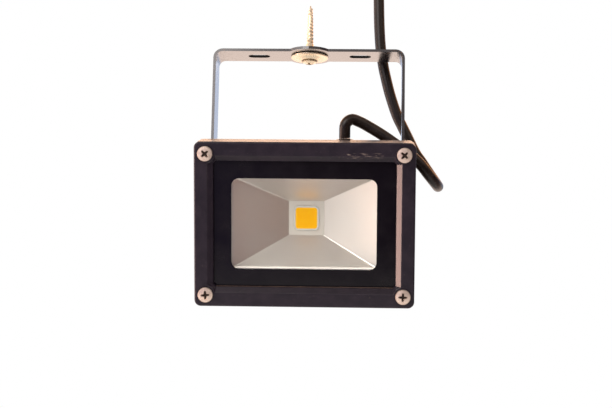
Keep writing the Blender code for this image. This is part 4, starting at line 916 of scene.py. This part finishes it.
def threaded(master, places, twists, thread, finish):
    # a copy of the mesh at every place, with a thread wound round it
    given, points = linked("threadedMaster", master), pointsObject(places, twists)
    mesh = runTree(threads, points, {"Fastener": given, "Finish": finishes[finish], **thread})
    bpy.data.objects.remove(points)
    bpy.data.objects.remove(given)
    return mesh


# outlines in the lamp's own frame, as X, depth behind the front face, and Z
corners = ((1, 1), (-1, 1), (-1, -1), (1, -1))
loopSteps = 12    # round each corner; the same for both kinds of loop, so that they can be bridged


def roundLoop(halfX, halfZ, corner, depth, steps=loopSteps):
    loop = []
    for quarter, (sx, sz) in enumerate(corners):
        for k in range(steps + 1):
            angle = math.radians(90) * (quarter + k / steps)
            x = sx * (halfX - corner) + corner * math.cos(angle)
            loop.append((x, depth, sz * (halfZ - corner) + corner * math.sin(angle)))
    return loop


def bossLoop(halfX, halfZ, boss, depth):
    # its corners curve inwards round the screws
    start = math.asin((lamp["screwX"] - halfX) / boss)
    end = math.radians(90) - math.asin((lamp["screwZ"] - halfZ) / boss)
    quarter = []
    for k in range(loopSteps + 1):
        angle = start + (end - start) * k / loopSteps
        quarter.append((lamp["screwX"] - boss * math.sin(angle), lamp["screwZ"] - boss * math.cos(angle)))
    loop = []
    for sx, sz in corners:
        part = quarter if sx * sz > 0 else quarter[::-1]
        loop += [(sx * x, depth, sz * z) for x, z in part]
    return loop


def bandMesh(name, loops, ring=True):
    # a closed body through the loops: a ring, whose last loop joins the first, or a block with two ends
    bm = bmesh.new()
    rows = []
    for loop in loops:
        rows.append([bm.verts.new((x, depth - lamp["axisDepth"], z)) for x, depth, z in loop])
    for one, other in zip(rows, rows[1:] + (rows[:1] if ring else [])):
        bridge(bm, one, other)
    if not ring:
        bm.faces.new(rows[0])
        bm.faces.new(rows[-1])
    return closedMesh(bm, name)


def curve(start, bend, end, steps):
    # a soft corner: points from start to end, drawn towards bend
    points = []
    for t in (k / steps for k in range(steps + 1)):
        first, middle, last = (1 - t) ** 2, 2 * t * (1 - t), t * t
        points.append([first * a + middle * b + last * c for a, b, c in zip(start, bend, end)])
    return points


# front frame: a cast ring with a sloped inner rim round the screw bosses
frontFrame = {
    "halfX": 57.5 * mm, "halfZ": 43.3 * mm, "corner": 3.4 * mm, "thick": 11.3 * mm, "fillet": 0.95 * mm,
    "flatX": 6.9 * mm, "flatZ": 7.2 * mm, "slope": 3.0 * mm, "slopeDepth": 2.5 * mm, "lipDepth": 5.2 * mm,
    "bossFront": 5.0 * mm, "bossBack": 6.5 * mm, "softness": 0.28 * mm, "hole": 2.2 * mm,
    "pocket": 1.8 * mm, "pocketBoss": 5.0 * mm, "backEdge": 0.3 * mm,
    "close": 0.05 * mm,    # an extra loop this near a rounding keeps the flat beside it flat
    "holdBack": 1.2,    # the same on the slope, as a multiple of its rounding
}


def makeFrameHoles():
    # the cutter of the four screw holes, longer than the frame is thick
    bm = bmesh.new()
    middle, length, radius = 5 * mm, 20 * mm, frontFrame["hole"]
    for sx, sz in ((-1, -1), (-1, 1), (1, -1), (1, 1)):
        place = lampToWorld.inverted() @ facingFront(sx * lamp["screwX"], middle, sz * lamp["screwZ"])
        bmesh.ops.create_cone(
            bm, cap_ends=True, segments=40, radius1=radius, radius2=radius, depth=length, matrix=place
        )
    return meshFrom(bm, "frameHoles")


def makeFrontFrame():
    size = frontFrame
    halfX, halfZ, fillet, soft, close = (size[k] for k in ("halfX", "halfZ", "fillet", "softness", "close"))
    thick, back, lip, deep = (size[k] for k in ("thick", "backEdge", "lipDepth", "slopeDepth"))
    flatX, flatZ = halfX - size["flatX"], halfZ - size["flatZ"]
    filletSteps, softSteps = 8, 6

    def outer(inset, depth):
        return roundLoop(halfX - inset, halfZ - inset, size["corner"] - inset, depth)

    def inner(along, depth):
        # along is 0 at the slope's top edge and 1 at its foot
        boss = size["bossFront"] + (size["bossBack"] - size["bossFront"]) * along
        return bossLoop(flatX - size["slope"] * along, flatZ - size["slope"] * along, boss, depth)

    loops = [outer(fillet + close, 0)]
    for k in range(filletSteps + 1):
        angle = math.radians(90) * k / filletSteps
        loops.append(outer(fillet * (1 - math.sin(angle)), fillet * (1 - math.cos(angle))))
    loops += [outer(0, fillet + close), outer(0, thick - back), outer(back, thick)]
    pocketX, pocketZ = (flat - size["slope"] + size["pocket"] for flat in (flatX, flatZ))
    loops += [bossLoop(pocketX, pocketZ, size["pocketBoss"], depth) for depth in (thick, lip)]
    share = soft / size["slope"]
    past = share * size["holdBack"]
    rim = [(1, lip), (1, deep + soft + close)]
    rim += curve((1, deep + soft), (1, deep), (1 - share, deep * (1 - share)), softSteps)
    rim += [(1 - past, deep * (1 - past)), (past, deep * past)]
    rim += curve((share, deep * share), (0, 0), (-share, 0), softSteps)
    rim.append((-past, 0))
    loops += [inner(along, depth) for along, depth in rim]
    mesh = cutFrom(bandMesh("frontFrame", loops), makeFrameHoles())
    mesh.transform(lampToWorld)
    made = newObject("frontFrame", mesh, "casting", 35)
    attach(made, "lamp")
    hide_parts("front_frame")
    print("front frame made")


makeFrontFrame()


# reflector: four flat facets, sharply folded, and a rim that rolls over into a flange
reflector = {
    "openX": 38.4 * mm, "openZ": 24.3 * mm, "openDepth": 12.0 * mm, "openCorner": 0.9 * mm,
    "endX": 9.5 * mm, "endZ": 9.3 * mm, "endDepth": 28.4 * mm, "endCorner": 0.45 * mm,
    "roll": 0.8 * mm, "sheet": 0.8 * mm, "flangeX": 43.2 * mm, "flangeZ": 29.6 * mm, "flangeCorner": 3.6 * mm,
}


def makeReflector():
    size = reflector
    fall = size["endDepth"] - size["openDepth"]
    slopeX = (size["openX"] - size["endX"]) / fall
    slopeZ = (size["openZ"] - size["endZ"]) / fall
    depth, roll, sheet = size["openDepth"], size["roll"], size["sheet"]
    cornerSteps, rollSteps = 4, 8

    def wall(share, out=0.0):
        # a loop on the facets, share of the way up, and out through the sheet
        low = size["endDepth"] - fall * share
        corner = size["endCorner"] + (size["openCorner"] - size["endCorner"]) * share
        x = size["endX"] + slopeX * fall * share + out * math.hypot(1, slopeX)
        z = size["endZ"] + slopeZ * fall * share + out * math.hypot(1, slopeZ)
        return roundLoop(x, z, corner + out / 2, low, cornerSteps)

    loops = [wall(share) for share in (0, 0.35, 0.7, 0.94)]
    turnX, turnZ = roll * slopeX, roll * slopeZ
    bendX = curve((-turnX, roll), (0, 0), (turnX, 0), rollSteps)
    bendZ = curve((-turnZ, roll), (0, 0), (turnZ, 0), rollSteps)
    for (x, low), (z, _) in zip(bendX, bendZ):
        corner = size["openCorner"] + roll - low
        loops.append(roundLoop(size["openX"] + x, size["openZ"] + z, corner, depth + low, cornerSteps))
    flange = size["flangeX"], size["flangeZ"], size["flangeCorner"]
    loops += [roundLoop(*flange, low, cornerSteps) for low in (depth, depth + sheet)]
    loops += [wall(1 - sheet / fall, sheet), wall(0, sheet)]
    mesh = bandMesh("reflector", loops)
    mesh.transform(lampToWorld)
    made = newObject("reflectorSheet", mesh, "reflector", 11)
    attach(made, "lamp")
    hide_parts("reflector")
    print("reflector made")


makeReflector()


# the light source: a poured emitter in a round-topped dam
source = {
    "halfX": 5.75 * mm, "halfZ": 5.65 * mm, "corner": 1.5 * mm, "seat": 28.4 * mm,
    "dam": 1.05 * mm, "damSide": 0.25 * mm, "damHeight": 0.8 * mm,
    # how far in from the dam and how high: the gel creeps up the dam
    "gel": [(0.0, 0.0), (0.0, 0.55 * mm), (0.12 * mm, 0.48 * mm), (0.45 * mm, 0.43 * mm)],
}


def makeSource():
    size = source
    halfX, halfZ, corner, seat = (size[k] for k in ("halfX", "halfZ", "corner", "seat"))
    bead, side, rise = size["dam"], size["damSide"], size["damHeight"] - size["damSide"]
    roundSteps, cornerSteps = 10, 8
    dam = [(0.0, 0.0)]
    for k in range(roundSteps + 1):
        angle = math.radians(180) * k / roundSteps
        dam.append((bead / 2 * (1 - math.cos(angle)), side + rise * math.sin(angle)))
    dam.append((bead, 0.0))
    gel = [(-inset, height) for inset, height in size["gel"]]
    for name, steps, ring, finish, slot, node in (
        ("sourceDam", dam, True, "dam", "white_plate", "led_dam"),
        ("sourceEmitter", gel, False, "emitter", "phosphor", "led_emitter"),
    ):
        loops = []
        for out, height in steps:
            loops.append(roundLoop(halfX + out, halfZ + out, corner + out, seat - height, cornerSteps))
        mesh = bandMesh(name, loops, ring)
        mesh.transform(lampToWorld)
        made = newObject(name, mesh, finish, 50)
        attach(made, "lamp")
        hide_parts(node)
    print("light source made")


makeSource()


# the frame's four corner screws, turned as in the photograph
frameScrew = {
    "shank": 1.9 * mm, "head": 3.95 * mm, "side": 1.2 * mm, "edge": 0.5 * mm, "height": 2.05 * mm,
    "length": 16.4 * mm, "recess": 4.8 * mm, "slot": 1.1 * mm, "recessDepth": 1.35 * mm,
    "recessShadeBelow": 0.45 * mm, "shadedRim": 0.3 * mm, "twists": (43, 47, 4, -3),
    "thread": {
        "Thread Radius": 1.85 * mm, "Tip Radius": 1.85 * mm, "Thread Height": 0.22 * mm, "Pitch": 0.7 * mm,
        "Thread Start": -15.2 * mm, "Thread Length": 8.0 * mm,
    },
}


def makeFrameScrews():
    size = frameScrew
    shank, length = size["shank"], size["length"]
    profile = [(0, -length), (shank * 0.7, -length), (shank, -length + shank * 0.6), (shank, 0)]
    screw = screwMesh("frameScrewHead", profile, size)
    ways = ((-1, 1), (1, 1), (-1, -1), (1, -1))
    places = [(sx * lamp["screwX"], sz * lamp["screwZ"], 0) for sx, sz in ways]
    mesh = outward(threaded(screw, places, size["twists"], size["thread"], "steel"))
    mesh.transform(facingFront(0, -lamp["gap"], 0))
    made = newObject("frameScrews", mesh, "steel", 35)
    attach(made, "lamp")
    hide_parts(*(f"frame_screw_{k}" for k in range(1, 5)))
    print("frame screws made")


makeFrameScrews()


# the wood screw through the bracket, head down
woodScrew = {
    "shank": 2.1 * mm, "core": 1.5 * mm, "length": 32.0 * mm, "seat": -4.3 * mm,
    "head": 4.0 * mm, "side": 0.4 * mm, "edge": 0.5 * mm, "height": 1.75 * mm,
    "recess": 4.3 * mm, "slot": 1.0 * mm, "recessDepth": 1.1 * mm,
    "recessShadeBelow": 0.4 * mm, "shadedRim": 0.2 * mm, "twists": [10],
    "thread": {
        "Thread Radius": 0.825 * mm, "Tip Radius": 1.5 * mm, "Thread Height": 0.6 * mm, "Pitch": 1.9 * mm,
        "Thread Start": -29.8 * mm, "Thread Length": 19.0 * mm,
    },
}


def makeWoodScrew():
    size = woodScrew
    shank, core, tip = size["shank"], size["core"], -size["length"]
    above = tip + size["thread"]["Thread Length"]
    profile = [(0, tip), (0.25 * mm, tip + 0.3 * mm), (core * 0.7, tip + 4 * mm), (core, tip + 8 * mm)]
    profile += [(core, above + 2.6 * mm), (shank, above + 3.6 * mm), (shank, -0.4 * mm)]
    screw = screwMesh("woodScrewBody", profile, size)
    mesh = outward(threaded(screw, [(0, 0, 0)], size["twists"], size["thread"], "brass"))
    mesh.transform(Matrix.Translation((0, 0, size["seat"])) @ Matrix.Rotation(math.radians(180), 4, "X"))
    made = newObject("woodScrew", mesh, "brass", 35)
    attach(made, "beam_fixing")
    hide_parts("fixing_screw")
    print("wood screw made")


makeWoodScrew()


# the wood screw's dished washer
washer = {
    "top": -1.8 * mm, "thick": 0.9 * mm, "rise": 1.3 * mm, "outside": 10.2 * mm, "hole": 2.4 * mm,
    "foot": 7.6 * mm, "dish": 5.0 * mm, "bevel": 0.15 * mm, "darkening": 0.55, "shadedOut": 4.6 * mm,
}


def makeWasher():
    # pressed from sheet, so both faces follow the same line
    size = washer
    top, rise, out, hole, foot, dish = (size[k] for k in ("top", "rise", "outside", "hole", "foot", "dish"))
    bottom = top - size["thick"]
    bendSteps, rimSteps = 5, 6
    line = [(out - 0.8 * mm, 0), (foot + 0.5 * mm, 0)]
    line += curve((foot + 0.45 * mm, 0), (foot, 0), (foot - 0.4 * mm, -0.2 * mm), bendSteps)
    line += curve((dish + 0.45 * mm, -rise + 0.22 * mm), (dish, -rise), (dish - 0.5 * mm, -rise), bendSteps)
    line += [(hole + size["bevel"], -rise)]
    lower = [(radius, bottom + z) for radius, z in line]
    upper = [(radius, top + z) for radius, z in reversed([(out - 0.2 * mm, 0)] + line)]
    rim = [(out - 0.02 * mm, top - 0.15 * mm)]
    rim += curve((out, top - 0.2 * mm), (out, bottom), (out - 0.75 * mm, bottom), rimSteps)[:-1]
    bore = [(hole, bottom - rise + 0.12 * mm), (hole, top - rise - 0.12 * mm)]
    mesh = turnedMesh("dishedWasher", lower + bore + upper + rim, 96)
    # shade is painted on the washer round the screw head
    markPaintedShade(mesh, lambda reach, height: size["darkening"] if reach < size["shadedOut"] else 0.0)
    made = newObject("dishedWasher", mesh, "brass", 30)
    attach(made, "beam_fixing")
    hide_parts("fixing_washer")
    print("washer made")


makeWasher()


# side bolts: chamfered hexagon heads and threaded shanks
sideBolt = {
    "outside": 52.3 * mm, "low": 2.9 * mm, "head": 4.5 * mm, "height": 2.9 * mm, "shank": 2.3 * mm,
    "reach": 10.3 * mm, "chamfer": 0.55 * mm, "twists": (12, 40),
    "thread": {
        "Thread Radius": 2.2 * mm, "Tip Radius": 2.2 * mm, "Thread Height": 0.24 * mm, "Pitch": 0.8 * mm,
        "Thread Start": -9.5 * mm, "Thread Length": 8.8 * mm,
    },
}


def makeSideBolts():
    size = sideBolt
    low, head, shank, reach = size["low"], size["head"], size["shank"], size["reach"]
    high, corner, over = low + size["height"], head * 1.01, 0.1 * mm
    prism = turnedMesh("boltPrism", [(0, low), (head, low), (head, high), (0, high)], 6)
    turned = [(0, low - mm), (head * 0.9, low), (corner, low + 0.35 * mm), (corner, high - size["chamfer"])]
    turned += [(head * 0.84, high), (head * 0.8, high + over), (0, high + over)]
    mesh = cutFrom(prism, turnedMesh("boltChamfer", turned, 60), "INTERSECT")
    rod = [(0, -reach), (1.8 * mm, -reach), (shank, -reach + 0.7 * mm), (shank, low + mm), (0, low + mm)]
    mesh = cutFrom(mesh, turnedMesh("boltRod", rod, 40), "UNION")
    bm = bmesh.new()
    for flip, twist in zip((-1, 1), size["twists"]):
        side = threaded(mesh.copy(), [(0, 0, 0)], [twist], size["thread"], "zinc")
        turn = Matrix.Rotation(math.radians(90 * flip), 4, "Y")
        side.transform(lampToWorld @ Matrix.Translation((flip * size["outside"], 0, 0)) @ turn)
        bm.from_mesh(side)
    made = newObject("sideBolts", outward(meshFrom(bm, "sideBolts")), "zinc", 30)
    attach(made, "lamp")
    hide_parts("pivot_bolt_left", "pivot_bolt_right")
    print("side bolts made")


makeSideBolts()


# nodes of the CAD model, each in its own finish
dressed = {
    "casting": ["front_frame", "housing"],
    "bracket": ["bracket"],
    "zinc": [
        "led_screw_left", "led_screw_right", "driver_screw_top", "driver_screw_bottom",
        "pivot_washer_left", "pivot_washer_right", "pivot_spring_washer_left", "pivot_spring_washer_right",
        "pivot_bolt_left", "pivot_bolt_right",
    ],
    "brass": ["earth_screw", "fixing_washer"],
    "tin": ["earth_terminal", "ferrule_brown", "ferrule_blue", "ferrule_earth"],
    "reflector": ["reflector"],
    "glass": ["glass"],
    "plate": ["led_base"],
    "dam": ["led_dam"],
    "emitter": ["led_emitter"],
    "silicone": ["glass_gasket", "gland_washer", "gland_seal"],
    "pad": ["thermal_pad"],
    "driver": ["driver_case"],
    "resin": ["driver_potting"],
    "nylon": ["gland_body", "gland_nut"],
    "cable": ["cable_entry"],
    "brown": ["core_brown", "lead_live"],
    "blue": ["core_blue", "lead_neutral"],
    "red": ["led_lead_plus"],
    "black": ["led_lead_minus"],
    "earth": ["core_earth", "lead_earth"],
}


def dressNodes():
    for finish, names in dressed.items():
        for name in names:
            data = nodes[name].data
            if not data.materials:
                data.materials.append(finishes[finish])
            for k in range(len(data.materials)):
                data.materials[k] = finishes[finish]
    print("dressed nodes:", sum(len(names) for names in dressed.values()))


dressNodes()


# the glass's black printed border
border = {
    "depth": 5.40 * mm, "thick": 0.05 * mm, "halfX": 48.3 * mm, "halfZ": 33.8 * mm, "boss": 5.8 * mm,
    "windowX": 38.0 * mm, "windowZ": 23.9 * mm, "corner": 4.0 * mm, "shiftX": -0.4 * mm, "shiftZ": -0.2 * mm,
}


def makeBorder():
    size = border
    window = roundLoop(size["windowX"], size["windowZ"], size["corner"], 0)
    near, far = size["depth"], size["depth"] + size["thick"]
    loops = [bossLoop(size["halfX"], size["halfZ"], size["boss"], depth) for depth in (near, far)]
    for depth in (far, near):
        loops.append([(x + size["shiftX"], depth, z + size["shiftZ"]) for x, _, z in window])
    mesh = bandMesh("glassBorder", loops)
    mesh.transform(lampToWorld)
    made = newObject("glassBorder", mesh, "print", 30)
    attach(made, "lamp")
    print("glass border made")


makeBorder()


# floor, studio light and background
studio = {
    "floorDrop": 0.12,
    "floorFade": (0.17, 0.33),    # the floor fades into the background between these radii
    "floorColour": (0.83, 0.82, 0.81),
    "lamps": {
        # direction, distance, size, watts, spread in degrees, colour
        "keySoftbox": ((-0.40, -0.78, 0.40), 0.6, (0.35, 0.35), 1.3, 180, (1.0, 0.95, 0.90)),
        "topSoftbox": ((-0.10, 0.80, 0.60), 1.2, (0.9, 0.7), 3.4, 180, (1.0, 0.86, 0.74)),
        "warmSoftbox": ((-0.985, -0.06, -0.16), 1.2, (0.30, 0.8), 3.8, 100, (1.0, 0.60, 0.48)),
    },
    "aim": (0, 0, -0.09),
}

# what gloss and metal see of the room, from the left (X -1) to the right (X 1)
room = {
    "sides": (
        (-1.0, (1.55, 1.38, 1.32)), (-0.5, (1.32, 1.24, 1.20)), (-0.15, (0.50, 0.40, 0.36)),
        (0.1, (0.28, 0.20, 0.17)), (0.6, (0.58, 0.30, 0.21)), (0.95, (0.05, 0.036, 0.06)),
    ),
    "aboveBehind": (2.9, 1.25, 0.42),
    "behind": (0.70, 0.79, 1.00),
    "belowBehind": (1.70, 1.36, 1.18),
    "above": (0.22, 0.16, 0.15),
    "skyAhead": (1.15, 1.02, 0.92),
    # in front, across the width that the glass mirrors
    "ahead": (
        (-0.14, (0.34, 0.28, 0.44)), (-0.085, (0.20, 0.155, 0.26)), (-0.055, (0.15, 0.115, 0.11)),
        (0.0, (0.09, 0.062, 0.07)), (0.03, (0.05, 0.034, 0.042)),
    ),
    # what lights matt surfaces, from the left to the right
    "matt": (
        (-1.0, (1.02, 0.98, 0.94)), (-0.1, (0.94, 0.91, 0.88)),
        (0.5, (0.76, 0.74, 0.73)), (1.0, (0.70, 0.69, 0.69)),
    ),
}

# where one tone of the room gives way to the next, along Y (back) and Z (up) of the direction
roomEdges = {
    "ahead": (-0.55, -0.8),
    "skyZ": (0.36, 0.55, 0.08), "skyY": (-0.2, -0.45),
    "above": (0.58, 0.72),
    "horizon": (-0.12, 0.06),
    "behind": (0.45, 0.7),
    "risingZ": (0.42, 0.56, 0.1), "risingY": (0.1, 0.4),
}


def makeFloor():
    near, far = studio["floorFade"]
    bm = bmesh.new()
    bmesh.ops.create_circle(bm, cap_ends=True, radius=far, segments=96)
    mesh = meshFrom(bm, "paleFloor")
    mesh.transform(Matrix.Translation((0, 0, cadBox[0].z - studio["floorDrop"])))
    floor = linked("paleFloor", mesh)
    extra = {"Specular IOR Level": 0.1}
    made, tree, shader = newFinish("paleFloor", studio["floorColour"], 0.9, extra=extra)
    at = split(tree, objectPlace(tree))
    flat = addNode(tree, "ShaderNodeCombineXYZ", {"X": at["X"], "Y": at["Y"]}).outputs[0]
    reach = addNode(tree, "ShaderNodeVectorMath", {0: flat}, operation="LENGTH").outputs["Value"]
    sockets = {0: reach, 1: near, 2: far, 3: 1.0, 4: 0.0}
    fade = addNode(tree, "ShaderNodeMapRange", sockets, interpolation_type="SMOOTHSTEP")
    feed(tree, shader, Alpha=fade.outputs["Result"])
    mesh.materials.append(made)


def makeLamps():
    aim = Vector(studio["aim"])
    for name, (way, distance, size, watts, beam, colour) in studio["lamps"].items():
        data = bpy.data.lights.new(name, "AREA")
        data.shape = "RECTANGLE"
        data.size, data.size_y = size
        data.energy = watts
        data.spread = math.radians(beam)
        data.color = colour
        light = linked(name, data)
        way = Vector(way).normalized()
        turn = (-way).to_track_quat("-Z", "Y").to_matrix().to_4x4()
        light.matrix_world = Matrix.Translation(aim + way * distance) @ turn
        light.visible_camera = False


def makeWorld():
    world = bpy.data.worlds.new("studioWorld")
    scene.world = world
    world.use_nodes = True
    tree = world.node_tree
    background = tree.nodes["Background"]
    way = split(tree, addNode(tree, "ShaderNodeTexCoord").outputs["Generated"])
    across = spread(tree, way["X"], -1.0, 1.0)
    tones = []
    for key in ("sides", "matt", "ahead"):
        stops = [((x + 1) / 2, tone) for x, tone in room[key]]
        tones.append(colours(tree, across, *stops))
    gloss, matt, ahead = tones
    edges = roomEdges
    gloss = mixed(tree, spread(tree, way["Y"], *edges["ahead"]), gloss, ahead)
    sky = product(tree, between(tree, way["Z"], *edges["skyZ"]), spread(tree, way["Y"], *edges["skyY"]))
    gloss = mixed(tree, sky, gloss, room["skyAhead"])
    gloss = mixed(tree, spread(tree, way["Z"], *edges["above"]), gloss, room["above"])
    behind = mixed(tree, spread(tree, way["Z"], *edges["horizon"]), room["belowBehind"], room["behind"])
    gloss = mixed(tree, spread(tree, way["Y"], *edges["behind"]), gloss, behind)
    high = between(tree, way["Z"], *edges["risingZ"])
    rising = product(tree, high, spread(tree, way["Y"], *edges["risingY"]))
    gloss = mixed(tree, rising, gloss, room["aboveBehind"])
    rays = addNode(tree, "ShaderNodeLightPath").outputs
    shiny = maths(tree, "MAXIMUM", rays["Is Glossy Ray"], rays["Is Transmission Ray"])
    tone = mixed(tree, shiny, matt, gloss)
    tone = mixed(tree, rays["Is Camera Ray"], tone, (1.0, 1.0, 1.0))
    tree.links.new(tone, background.inputs["Color"])


makeFloor()
makeLamps()
makeWorld()
print("studio set")
